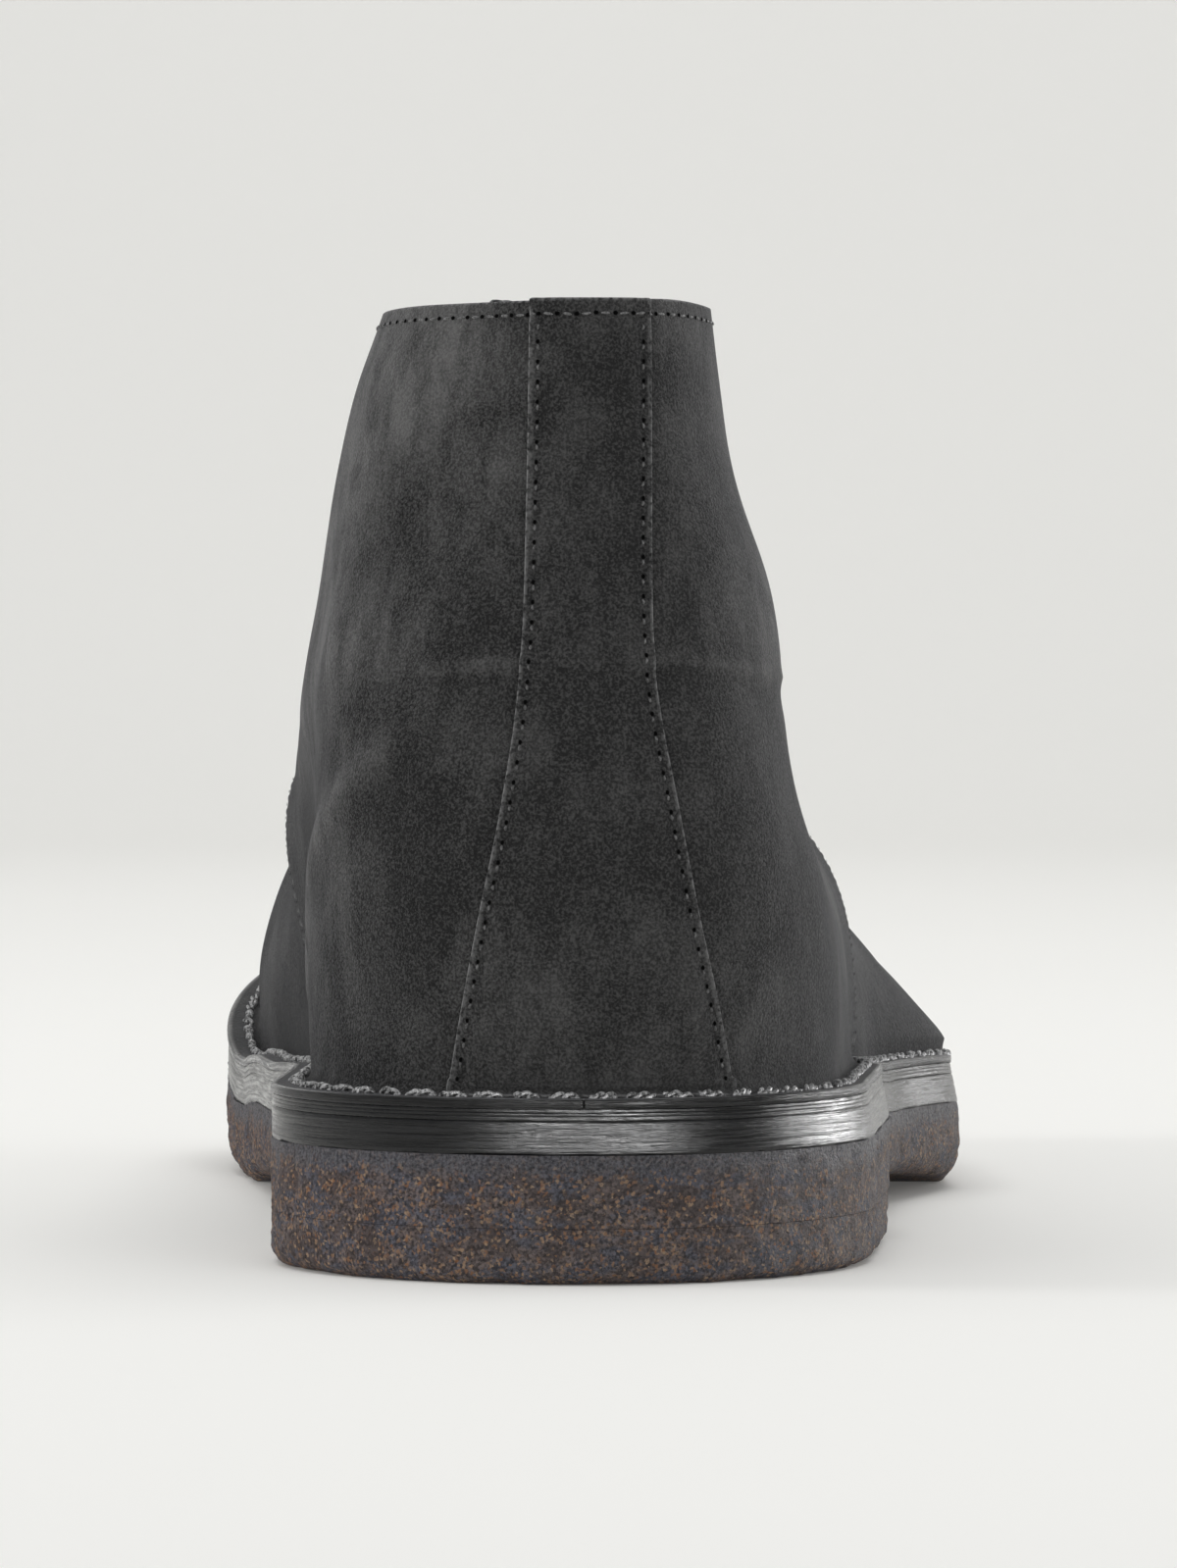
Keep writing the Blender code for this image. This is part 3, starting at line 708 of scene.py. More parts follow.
def make_crepe(crepe):
    theta = even_angles(CREPE_POINTS)
    _, y = sole_edge(theta)
    rounding = through(((0, 0), (HEEL_BREAST, 0), (110, SOLE_ROUNDING), (LENGTH, SOLE_ROUNDING)), y)
    rings = crepe_side(theta, tread, lambda along: deck(along) + .12, rounding)
    rings[..., 2] -= .18 * (1 - eased(rings[..., 1], HEEL_BREAST - 2, HEEL_BREAST + 2)) * (
        rings[..., 2] < HEEL_LIFT + 1)
    points, faces = stacked(rings)
    piece("crepe_sole", points, faces, crepe, "crepe", ["outsole"])


def make_crepe_heel(crepe):
    angles = np.linspace(0, np.pi, 400)
    breast = np.interp(HEEL_BREAST, sole_edge(angles)[1], angles)
    side = np.linspace(0, 1, 220) ** .85 * breast
    theta = np.concatenate((side, 2 * np.pi - side[:0:-1]))
    rings = crepe_side(theta, lambda y: 0 * y, lambda y: 0 * y + HEEL_LIFT + .06,
                       np.full(len(theta), HEEL_ROUNDING), HEEL_BREAST)
    points, faces = stacked(rings)
    piece("crepe_heel_lift", points, faces, crepe, "crepe", ["heel_lift"])


def edge_slant(theta):
    """How far the top of the polished edge stands in from the crepe; it is upright medially."""
    return EDGE_SLANT * np.sqrt(np.clip(np.sin(theta), 0, 1))


def edge_band(theta, low, high, corner, line_depth, lines, slant_from, slant_to):
    """Rings of a pressed edge between two heights, with fine ridges along it."""
    levels = [(0, corner), (.03, .45 * corner), (.07, 0)]
    levels += [(share, line_depth * (n in lines)) for n, share in enumerate(np.linspace(.16, .84, 13))]
    levels += [(.91, 0), (.97, .45 * corner), (1, corner)]
    out = flat_outward(theta)
    rings = []
    for share, cut in levels:
        slanted = edge_slant(theta) * (slant_from + share * (slant_to - slant_from))
        ring = outline(theta, lambda y: low(y) + share * (high(y) - low(y)), cut + slanted)
        rings.append(ring + out * (.05 * lumps(ring * (1, 1, 3), 9, 11))[..., None])
    return np.array(rings)


def make_midsole(polished):
    theta = even_angles(EDGE_POINTS)
    rings = edge_band(theta, lambda y: deck(y) + .14, lambda y: seat(y) + .20, .16, .04, (3, 8), 0, .55)
    points, faces = stacked(rings)
    piece("midsole_edge", points, faces, polished, "black_edge", ["midsole"])


def make_welt(polished):
    """The strip between midsole and turned-out leather, which the sole stitch runs through."""
    theta = even_angles(EDGE_POINTS)
    low, high = lambda y: seat(y) + .21, lambda y: flange_top(y) - FLANGE_LEATHER - .01
    outer = edge_band(theta, low, high, .10, .07, (4, 9), .57, .78)
    inner = np.array([outline(theta, high, FLANGE_WIDTH + 1.4), outline(theta, low, FLANGE_WIDTH + 1.4)])
    rings = np.concatenate((outer, inner))
    faces = ring_quads(len(rings), len(theta), joined=True)
    piece("welt", rings.reshape(-1, 3), faces, polished, "black_edge", ["upper"])


def make_insole(lining):
    """Leather sock that lies in the boot, a little cupped."""
    theta = np.linspace(0.02, np.pi - 0.02, 150)
    inward = FLANGE_WIDTH + WALL_LEATHER + 2.2
    across = spread(37, (.004, .015))
    lateral, medial = [outline(side * theta, seat, inward) for side in (1, -1)]
    points = medial[:, None] + (lateral - medial)[:, None] * across[None, :, None]
    cup = .7 * (2 * across - 1) ** 4
    points[..., 2] += GAP + INSOLE - .75 + cup + .05 * lumps(points, 11, 12)
    values = {"edge": np.zeros(points.shape[:2])}
    normals = -grid_normals(points[:, ::-1])[:, ::-1]
    leather_piece("insole_sock", "insole", points, normals, INSOLE - .9,
                  grid_faces(*points.shape[:2]), values, .25, lining, "lining")


# ---------------------------------------------------------------- upper

def leather_thickness(rise, wall):
    return np.interp(rise, (-1, FILLET_START, FOOT, .10), (FLANGE_LEATHER, FLANGE_LEATHER, .85 * wall, wall))


def leather_values(points, rise):
    """What the suede needs of each point: its nap with painted highlights and shade, and the flange's
    dressing.
    """
    return {"brushed_nap_and_painted_light": brushed_nap_and_painted_light(points) * eased(rise, -.42, 0), "dressed": dressed(rise)}


def rim_softness(rise):
    """Softness of the cut edge, a little less at the edge of the flange."""
    return np.where(rise < -.9, .30, EDGE_SOFTNESS)


WALL_RISES = np.concatenate((
    (-.985, -.95, -.85, -.72, -.58, -.44, FILLET_START), np.linspace(FILLET_START, FOOT, 8)[1:],
    np.linspace(FOOT, 1, 108)[1:-1], (.9965, .9988, 1.0)))


def open_hole(points, centre, radius):
    """Moves the eight points round the one nearest a hole's centre on to the hole's rim."""
    away = np.linalg.norm(points - centre, axis=-1)
    row, column = np.unravel_index(away.argmin(), away.shape)
    for i in range(-1, 2):
        for j in range(-1, 2):
            arm = points[row + i, column + j] - centre
            points[row + i, column + j] = centre + radius * unit(arm)
    return row, column


def make_quarter(side, suede):
    """One side of the boot from the back seam to the edge that laps over the vamp."""
    shares = spread(128, (.0015, .004, .010, .018))
    columns = shares if side > 0 else -shares[::-1]
    theta = columns[None] * edge_angle(WALL_RISES)[:, None]
    rise = collar_cut(theta, np.broadcast_to(WALL_RISES[:, None], theta.shape))
    bare = surface(theta, rise)
    normals = surface_normal(theta, rise)
    points = bare + quarter_lift(side * np.maximum(abs(theta), 1e-6), rise, bare)[..., None] * normals
    normals = grid_normals(points)
    dropped = set()
    for level in EYELET_LEVELS:
        centre, _ = eyelet_place(side, level)
        dropped.add(open_hole(points, centre, EYELET_HOLE))
    softness = np.where(abs(columns) < 1e-9, 0, rim_softness(rise))
    leather_piece(f"quarter_{SIDE_WORD[side]}", "upper", points, normals,
                  leather_thickness(rise, WALL_LEATHER), grid_faces(*theta.shape, dropped),
                  leather_values(points, rise), softness, suede)


def make_vamp(suede):
    """The front of the boot, its sides and top under the quarters."""
    rises = np.concatenate((WALL_RISES[WALL_RISES <= FOOT], np.linspace(FOOT, VAMP_TOP, 100)[1:]))
    shares = 2 * spread(190, (.001, .003)) - 1
    lap = VAMP_LAP * eased(rises, 0, .05)
    reach = []
    for rise, under in zip(rises, lap):
        level = max(rise, 0.0)
        edge = edge_angle(rise)
        y = surface(edge, level)[1]
        back = angle_along(y - under, level) if rise < .6 else edge
        low = np.pi - from_ridge(13, level) if rise > .55 else edge
        wide = back if rise < .55 else min(edge, low)
        reach.append(np.pi - (back + (wide - back) * eased(rise, .55, .62)))
    reach = np.array(reach)
    reach = np.where(rises > .5, np.convolve(np.pad(reach, 3, mode="edge"), np.ones(7) / 7, "valid"), reach)
    theta = np.pi + shares[None] * reach[:, None]
    rise = np.broadcast_to(rises[:, None], theta.shape)
    bare = surface(theta, rise)
    edge = np.where(theta < np.pi, edge_angle(rise), 2 * np.pi - edge_angle(rise))
    edge_points = surface(edge, rise)
    gap = np.linalg.norm(bare - edge_points, axis=-1)
    past = (theta - edge) * np.sign(np.pi - theta + 1e-9)
    ahead = np.where(past >= 0, gap, -gap)
    lift = vamp_lift(rise, bare, ahead)
    points = bare + lift[..., None] * surface_normal(theta, rise)
    leather_piece("vamp", "upper", points, grid_normals(points), leather_thickness(rise, VAMP_LEATHER),
                  grid_faces(*theta.shape), leather_values(points, rise), rim_softness(rise), suede)


def strip_edges(rise):
    """Angles of the back strip's medial and lateral edges."""
    place, medial, lateral = np.array(BACK_STRIP).T
    level = max(rise, 0.0)
    return [angle_at(through(tuple(zip(place, edge)), level), min(level, 1.0)) for edge in (medial, lateral)]


STRIP_RISES = np.concatenate((np.linspace(-.29, FOOT, 9), np.linspace(FOOT, .990, 96)[1:], (.997, 1.000)))
STRIP_EDGES = np.array([strip_edges(rise) for rise in STRIP_RISES])


def strip_angles(rise):
    """Angles of the strip's medial and lateral edges at a rise."""
    return [np.interp(rise, STRIP_RISES, edge) for edge in STRIP_EDGES.T]


def strip_point(share, rise, lift):
    """Place on the back strip: share 0 at its medial edge and 1 at its lateral one."""
    medial, lateral = strip_angles(rise)
    theta = medial + (lateral - medial) * share
    bare = surface(theta, np.minimum(rise, 1.0))
    normals = surface_normal(theta, np.minimum(rise, .998))
    over = np.clip(rise - 1, 0, None)[..., None] * np.array((0, 0, 100.0))
    folds = quarter_lift(theta, np.minimum(rise, 1), bare)
    return bare + over + (folds + lift)[..., None] * normals, normals


def make_back_strip(suede):
    """Strip over the back seam, its edges pressed down by their stitch rows."""
    shares = spread(25, (.008, .02, .045, .07, .10))
    share, rise = np.meshgrid(shares, STRIP_RISES)
    sides = [surface(STRIP_EDGES[:, n], np.minimum(STRIP_RISES, 1)) for n in (0, 1)]
    width = np.linalg.norm(sides[0] - sides[1], axis=-1)
    half = width[:, None] * np.minimum(share, 1 - share)
    pressed = .34 * np.exp(-((half - 1.2) / .7) ** 2) + .18 * np.exp(-(half / .5) ** 2)
    pressed = pressed + .22 * np.exp(-((rise - .981) / .006) ** 2)
    pressed = pressed + .75 * (1 - eased(rise, -.29, -.05))
    points, _ = strip_point(share, rise, .03 + STRIP_LEATHER - pressed)
    values = {"brushed_nap_and_painted_light": np.clip(brushed_nap_and_painted_light(points) - .05, 0, 1), "edge": .35 * (half < .3)}
    leather_piece("back_strip_leather", "back_strip", points, grid_normals(points),
                  STRIP_LEATHER - pressed, grid_faces(*share.shape), values, .28, suede)


def make_tongue(suede):
    """Tongue behind the throat, pressed in a little by the lace."""
    rises = np.linspace(TONGUE_SHAPE[0][0], TONGUE_SHAPE[-1][0] + .004, 64)
    shares = 2 * spread(41, (.006, .02)) - 1
    width = np.array([from_ridge(through(TONGUE_SHAPE, rise), rise) for rise in rises])
    theta = np.pi + shares[None] * width[:, None]
    rise = np.broadcast_to(rises[:, None], theta.shape)
    level = np.minimum(rise, 1)
    bare = surface(theta, level) + (rise - level)[..., None] * (0, -30.0, 95.0)
    lift = -3.3 + .12 * lumps(bare, 12, 13)
    points = bare + lift[..., None] * surface_normal(theta, np.minimum(rise, .998))
    values = {"brushed_nap_and_painted_light": .5 * brushed_nap_and_painted_light(points)}
    leather_piece("tongue_leather", "tongue", points, grid_normals(points), TONGUE_LEATHER,
                  grid_faces(*theta.shape), values, .4, suede)


# ---------------------------------------------------------------- eyelets and lace

def eyelet_angle(side, rise):
    edge = throat_half_gap(rise)
    return np.pi - side * from_ridge(edge + EYELET_FROM_EDGE, rise)


def eyelet_place(side, rise):
    """Centre of an eyelet on the leather, and the direction it faces."""
    theta = eyelet_angle(side, rise)
    around = theta if side > 0 else theta - 2 * np.pi
    return on_quarter(around, rise)


# profile of an eyelet turned round its axis: radius, height over the leather
EYELET_PROFILE = ((1.55, -1.95), (2.0, -1.95), (2.05, -.1), (2.7, .02), (3.25, .04), (3.35, .18), (3.2, .42),
                  (2.85, .62), (2.4, .68), (2.0, .56), (1.72, .2), (1.55, -.5))


def make_eyelet(side, number, metal):
    centre, facing = eyelet_place(side, EYELET_LEVELS[number - 1])
    across = unit(np.cross(facing, (0.0, 1.0, 0.0)))
    ahead = np.cross(facing, across)
    turns = 40
    points, faces = [], []
    count = len(EYELET_PROFILE)
    for n in range(turns):
        turn = 2 * np.pi * n / turns
        out = across * np.cos(turn) + ahead * np.sin(turn)
        points += [centre + radius * out + height * facing for radius, height in EYELET_PROFILE]
        a, b = n * count, (n + 1) % turns * count
        faces += [(a + j, b + j, b + (j + 1) % count, a + (j + 1) % count) for j in range(count)]
    word = SIDE_WORD[side]
    piece(f"eyelet_ring_{word}_{number}", np.array(points), faces, metal, "eyelet_metal",
          [f"eyelet_{word}_{number}"])


def smooth_path(points, count):
    """Smooth path close to the control points, evenly stepped."""
    points = np.array(points, float)
    along = travelled(points)
    at = np.linspace(0, along[-1], count)
    fine = np.stack([through(tuple(zip(along, points[:, k])), at) for k in range(3)], -1)
    for _ in range(3):
        fine[1:-1] = (fine[:-2] + 2 * fine[1:-1] + fine[2:]) / 4
    return fine


def ribbon(path, facing, width, thick, sides=14):
    """Tube of oval section along a path, its flat side turned to facing; returns points and faces."""
    along = unit(np.gradient(path, axis=0))
    flat = unit(np.cross(along, facing))
    up = np.cross(flat, along)
    turn = np.arange(sides) * 2 * np.pi / sides
    ring = (flat[:, None] * (width / 2 * np.cos(turn))[None, :, None]
            + up[:, None] * (thick / 2 * np.sin(turn))[None, :, None])
    points = (path[:, None] + ring).reshape(-1, 3)
    faces = ring_quads(len(path), sides, flipped=True)
    faces.append(tuple(range(sides)))
    faces.append(tuple(reversed(range(len(points) - sides, len(points)))))
    return points, faces


def over_facing(across, rise, lift):
    """Point over the facings at a signed distance from the ridge, lateral positive."""
    theta = np.pi - np.sign(across) * from_ridge(abs(across), rise)
    facing = surface_normal(theta, rise)
    return surface(theta, rise) + lift * facing, facing


# one half of the lace, from the middle of the lowest bar: which side (1 own, -1 other), share of the way
# from the ridge to the eyelets, eyelet space (0 to 2), height over the last's surface
LACE_RUN = (
    (0, .0, 0, .6), (1, .45, 0, 1.1), (1, .82, 0, 1.75), (1, .96, 0, 1.2), (1, 1.0, .02, -.6),
    (1, .95, .06, -2.35), (1, .6, .18, -2.45), (1, .25, .35, -2.1), (-1, .25, .62, -2.0),
    (-1, .6, .80, -2.45), (-1, .93, .95, -2.35), (-1, 1.0, .99, -.6), (-1, .96, 1.02, 1.2),
    (-1, .80, 1.10, 1.7), (-1, .40, 1.32, 1.5), (1, .05, 1.52, .9), (1, .28, 1.66, -1.3),
    (1, .6, 1.82, -2.45), (1, .93, 1.96, -2.35), (1, 1.0, 2.0, -.7), (1, 1.0, 2.0, .35))


def make_lace(waxed):
    """Bar over the lowest pair, then a cross through each pair; the ends stop in the top eyelets."""
    everything, all_faces = [], []
    for side in (1, -1):
        path, facing = [], []
        for own, share, space, lift in LACE_RUN:
            rise = np.interp(space, (0, 1, 2), EYELET_LEVELS)
            across = (throat_half_gap(rise) + EYELET_FROM_EDGE) * share * side * (own or 1)
            over = .55 * side * np.sin(np.pi * np.clip((space - 1.2) / .6, 0, 1))
            point, direction = over_facing(across or 1e-4 * side, rise, lift + max(over, 0))
            path.append(point)
            facing.append(direction)
        fine = smooth_path(path, 190)
        turned = unit(smooth_path(facing, 190))
        points, faces = ribbon(fine, turned, LACE_WIDTH, LACE_THICK)
        start = sum(len(part) for part in everything)
        everything.append(points)
        all_faces += [tuple(corner + start for corner in face) for face in faces]
    piece("lace_run", np.concatenate(everything), all_faces, waxed, "lace", ["lace"])


# ---------------------------------------------------------------- stitches

def resampled(path, normals, step):
    """The path and its normals at even steps, as near as fits to the given one."""
    gone = travelled(path)
    count = max(int(round(gone[-1] / step)), 1)
    at = np.arange(count) * gone[-1] / count

    def follow(distance):
        place, facing = [np.stack([np.interp(distance, gone, of[:, k]) for k in range(3)], -1)
                         for of in (path, normals)]
        return place, unit(facing)

    return at, follow, gone[-1] / count


def stitches(rows, pitch, share, radius, height, plies, seed, wander=.12, dip=.7, along_pitch=.5):
    """Joined threads along rows of (path, normals); each stitch dips into the leather at both ends."""
    chance = np.random.default_rng(seed)
    sides, rings = (6, 9) if plies == 1 else (7, 12)
    turn = np.arange(sides) * 2 * np.pi / sides
    points, faces, total = [], [], 0
    for path, normals in rows:
        at, follow, step = resampled(path, normals, pitch)
        for start in at:
            length = step * share * (1 + .08 * chance.standard_normal())
            t = np.linspace(0, 1, rings)
            centre, facing = follow(start + (step - length) * along_pitch + length * t)
            along = unit(np.gradient(centre, axis=0))
            across = np.cross(along, facing)
            lean = wander * chance.standard_normal()
            arch = np.sin(np.pi * t) ** dip
            size = height * (1 + .10 * chance.standard_normal())
            middle = centre + facing * (size * arch - .6 * radius)[:, None]
            middle = middle + across * (lean * (t - .5) * step * .3)[:, None]
            first = chance.uniform(0, 2 * np.pi)
            for ply in range(plies):
                twist = first + 2 * np.pi * (ply / plies + 1.3 * t)
                off = radius * 1.05 * (plies > 1) * (.35 + .65 * arch)
                aside, above = (off * np.cos(twist))[:, None], (off * np.sin(twist))[:, None]
                strand = middle + (across * aside + facing * above)
                thick = radius * (.45 + .55 * arch)
                ahead = unit(np.gradient(strand, axis=0))
                beside = unit(np.cross(ahead, facing))
                over = np.cross(beside, ahead)
                ring = (beside[:, None] * np.cos(turn)[None, :, None]
                        + over[:, None] * np.sin(turn)[None, :, None])
                points.append((strand[:, None] + ring * thick[:, None, None]).reshape(-1, 3))
                faces += ring_quads(rings, sides, total)
                faces.append(tuple(total + j for j in reversed(range(sides))))
                faces.append(tuple(total + (rings - 1) * sides + j for j in range(sides)))
                total += rings * sides
    return np.concatenate(points), faces


def needle_hole_shade(rows, pitch, radius):
    """Painted shade of the needle holes between the stitches: near-black shallow dished rings on the nap."""
    sides = 8
    turn = np.arange(sides) * 2 * np.pi / sides
    points, faces, total = [], [], 0
    for path, normals in rows:
        at, follow, step = resampled(path, normals, pitch)
        centre, facing = follow(at)
        ahead, _ = follow(at + .2)
        along = unit(ahead - centre + 1e-9)
        across = np.cross(along, facing)
        for n in range(len(at)):
            oval_ring = 1.25 * np.outer(np.cos(turn), along[n]) + np.outer(np.sin(turn), across[n])
            ring = centre[n] + radius * oval_ring
            points += [ring + .15 * facing[n], ring * .25 + centre[n] * .75 + .11 * facing[n]]
            faces += ring_quads(2, sides, total, flipped=True)
            faces.append(tuple(total + sides + j for j in reversed(range(sides))))
            total += 2 * sides
    return np.concatenate(points), faces


def strip_rows():
    rise = np.linspace(.012, .972, 160)
    rows = []
    for side in (0, 1):
        medial, lateral = strip_angles(rise)
        width = np.linalg.norm(surface(medial, rise) - surface(lateral, rise), axis=-1)
        share = .88 / width if side == 0 else 1 - 1.05 / width
        rows.append(strip_point(share, rise, STRIP_LEATHER - .28 + 0 * rise))
    return rows


def collar_row():
    """Along the collar just under its edge, over the strip at the back, as one row."""
    near_edge = edge_angle(.984) - .035
    theta = np.linspace(-near_edge, near_edge, 400)
    rise = collar_cut(theta, np.full(400, COLLAR_ROW))
    medial, lateral = strip_angles(COLLAR_ROW)
    on_strip = eased(theta, medial - .012, medial + .012) * (1 - eased(theta, lateral - .012, lateral + .012))
    return on_quarter(theta, rise, on_strip * (STRIP_LEATHER - .15))


def edge_row(side, inside, low, high):
    """Beside the quarter's front edge, at a distance inside it."""
    rise = np.linspace(low, high, 220)
    edge = edge_angle(rise)
    wide = np.linalg.norm(surface(edge, rise) - surface(edge - .01, rise), axis=-1) / .01
    slant = 1 + .35 * (1 - eased(rise, .55, .68))
    return on_quarter(side * (edge - inside * slant / wide), rise)


def sole_row():
    theta = np.linspace(0, 2 * np.pi, 1600)
    rise = np.full(len(theta), SOLE_ROW)
    points = surface(theta, rise)
    return points, unit(np.array((0, 0, 1.0)) + .35 * flat_outward(theta))


# fine seams: pitch, share of it under thread, thread radius, height over the leather, radius of the
# painted shade at each needle hole, and where the thread lies between two holes
STITCH_ROWS = (("strip", 2.55, .24, .18, .20, .25, .80), ("collar", 2.48, .48, .18, .17, .27, .5),
               ("quarter", 2.2, .55, .18, .07, .22, .5))


# the heavy stitching of the flange: two plies, uneven, that bend down sharply at their ends
SOLE_STITCH = dict(pitch=4.9, share=.80, radius=.33, height=.46, plies=2, seed=5, wander=.5, dip=.34)


def make_stitching(fine_thread, sole_thread, hole_shade):
    fronts = [edge_row(side, inside, .02, high)
              for side in (1, -1) for inside, high in ((1.7, .975), (3.5, .66))]
    rows_of = {"strip": strip_rows(), "collar": [collar_row()], "quarter": fronts}
    for name, pitch, share, radius, height, pit_size, lies in STITCH_ROWS:
        threads = stitches(rows_of[name], pitch, share, radius, height, 1, len(name), along_pitch=lies)
        piece(f"{name}_stitches", *threads, fine_thread, "suede", [])
        # painted shade of the needle holes, as dark rings on the nap
        piece(f"{name}_needle_hole_shade", *needle_hole_shade(rows_of[name], pitch, pit_size), hole_shade, "suede", [])
    threads = stitches([sole_row()], **SOLE_STITCH)
    piece("sole_stitches", *threads, sole_thread, "suede", [])


# ---------------------------------------------------------------- nodes of the materials

def feed(tree, node, values):
    """Links or sets a node's sockets; the values are numbers or other nodes' outputs."""
    for socket, value in values.items():
        if isinstance(value, bpy.types.NodeSocket):
            tree.links.new(value, node.inputs[socket])
        else:
            node.inputs[socket].default_value = value


def add(tree, kind, inputs=None, **settings):
    """A node with its settings and inputs, which are values or other nodes' outputs."""
    made = tree.nodes.new("ShaderNode" + kind)
    for label, value in settings.items():
        setattr(made, label, value)
    feed(tree, made, inputs or {})
    return made


def mix(tree, factor, first, second):
    """A colour on the way from the first to the second."""
    return add(tree, "Mix", {0: factor, 6: first, 7: second}, data_type="RGBA").outputs[2]


def between(tree, factor, first, second):
    """A number on the way from the first to the second."""
    return add(tree, "Mix", {0: factor, 2: first, 3: second}).outputs[0]


def math(tree, operation, first, second, third=0.0, clamp=False):
    sockets = {0: first, 1: second, 2: third}
    return add(tree, "Math", sockets, operation=operation, use_clamp=clamp).outputs[0]


def times(tree, first, second, clamp=False):
    return math(tree, "MULTIPLY", first, second, clamp=clamp)


def bumped(tree, height, strength, depth):
    """Normals for a height from 0 to 1 that stands for a depth in millimetres."""
    return add(tree, "Bump", {"Strength": strength, "Distance": depth * MM, "Height": height}).outputs[0]


def fitted(tree, value, low, high, to_low=0.0, to_high=1.0):
    """The value's range from low to high stretched to another range, without going past it."""
    sockets = {0: value, 1: low, 2: high, 3: to_low, 4: to_high}
    return add(tree, "MapRange", sockets, interpolation_type="SMOOTHSTEP").outputs[0]


def scaled_noise(tree, vector, scale, detail=2.0, roughness=.5, warp=0.0):
    sockets = {"Vector": vector, "Scale": scale, "Detail": detail,
               "Roughness": roughness, "Distortion": warp}
    return add(tree, "TexNoise", sockets).outputs[0]


def noise(tree, vector, size, *looks):
    """Noise whose lumps are about the given size in millimetres."""
    return scaled_noise(tree, vector, 1 / (size * MM), *looks)


def stretched(tree, vector, scale, turn=(0, 0, 0)):
    return add(tree, "Mapping", {"Vector": vector, "Scale": scale, "Rotation": turn}).outputs[0]


def kept(tree, label):
    """A number kept with each point of the mesh."""
    return add(tree, "Attribute", attribute_name=label).outputs["Fac"]


def place(tree):
    """Position in metres, its height measured from the crepe's top, so that it follows the sole."""
    return add(tree, "Attribute", attribute_name="place").outputs["Vector"]


def group(name, inputs, outputs):
    """An empty node group with named sockets; returns the group, its inputs and its output node."""
    made = bpy.data.node_groups.new(name, "ShaderNodeTree")
    for label, kind, value in inputs:
        socket = made.interface.new_socket(label, in_out="INPUT", socket_type="NodeSocket" + kind)
        if value is not None:
            socket.default_value = value
    for label, kind in outputs:
        made.interface.new_socket(label, in_out="OUTPUT", socket_type="NodeSocket" + kind)
    return made, made.nodes.new("NodeGroupInput").outputs, made.nodes.new("NodeGroupOutput").inputs


def use(tree, shared, inputs):
    """The outputs of a shared node group."""
    return add(tree, "Group", inputs, node_tree=shared).outputs


def per_millimetre(shared, size):
    """Scale of a noise whose lumps have a size that the group is given."""
    return math(shared, "DIVIDE", 1.0, times(shared, size, MM))


def nap_group():
    """Suede nap: fine fibres, brushing marks and soft clouds; puts out tone and height from 0 to 1."""
    shared, given, result = group(
        "nap", [("Vector", "Vector", None), ("Brushed_nap_and_painted_light", "Float", 0.0), ("Fibre", "Float", .45)],
        [("Tone", "Float"), ("Height", "Float")])
    where = given["Vector"]
    grain = scaled_noise(shared, where, per_millimetre(shared, given["Fibre"]), 2.5, .6, .3)
    clumps = noise(shared, where, 1.1, 3, .6, .4)
    marks = noise(shared, stretched(shared, where, (1, 1, .45), (.3, .7, 0)), 4.0, 3, .55, .5)
    clouds = noise(shared, where, 15, 3, .5, .3)
    fine = fitted(shared, grain, .36, .70)
    parts = ((fine, .47), (clumps, .28), (marks, .26), (clouds, .22))
    # the given nap amount, with its painted highlights and shade, lightens the brushing marks
    tone = times(shared, given["Brushed_nap_and_painted_light"], fitted(shared, marks, .25, .7, .30, .78))
    for part, share in parts:
        tone = math(shared, "MULTIPLY_ADD", part, share, tone)
    tone = math(shared, "SUBTRACT", tone, .455, clamp=True)
    height = math(shared, "MULTIPLY_ADD", clumps, .5, times(shared, grain, .8))
    shared.links.new(tone, result["Tone"])
    shared.links.new(height, result["Height"])
    return shared


def drag_group():
    """Fine lines dragged along a polished edge; puts out lines and soft patches from 0 to 1."""
    shared, given, result = group(
        "dragged_lines", [("Vector", "Vector", None), ("Size", "Float", 1.0)],
        [("Lines", "Float"), ("Patches", "Float")])
    scale = per_millimetre(shared, given["Size"])
    lines = scaled_noise(shared, stretched(shared, given["Vector"], (.07, .07, 2.4)), scale, 4.0, .6, .15)
    wide = stretched(shared, given["Vector"], (.35, .35, 1.1))
    patches = scaled_noise(shared, wide, times(shared, scale, .12))
    shared.links.new(fitted(shared, lines, .28, .72), result["Lines"])
    shared.links.new(fitted(shared, patches, .3, .7), result["Patches"])
    return shared


def new_material(name):
    made = bpy.data.materials.new(name)
    made.use_nodes = True
    tree = made.node_tree
    return made, tree, tree.nodes["Principled BSDF"]


def object_place(tree):
    return add(tree, "TexCoord").outputs["Object"]


def grey(level, tint=(1, 1, 1)):
    return (level * tint[0], level * tint[1], level * tint[2], 1)


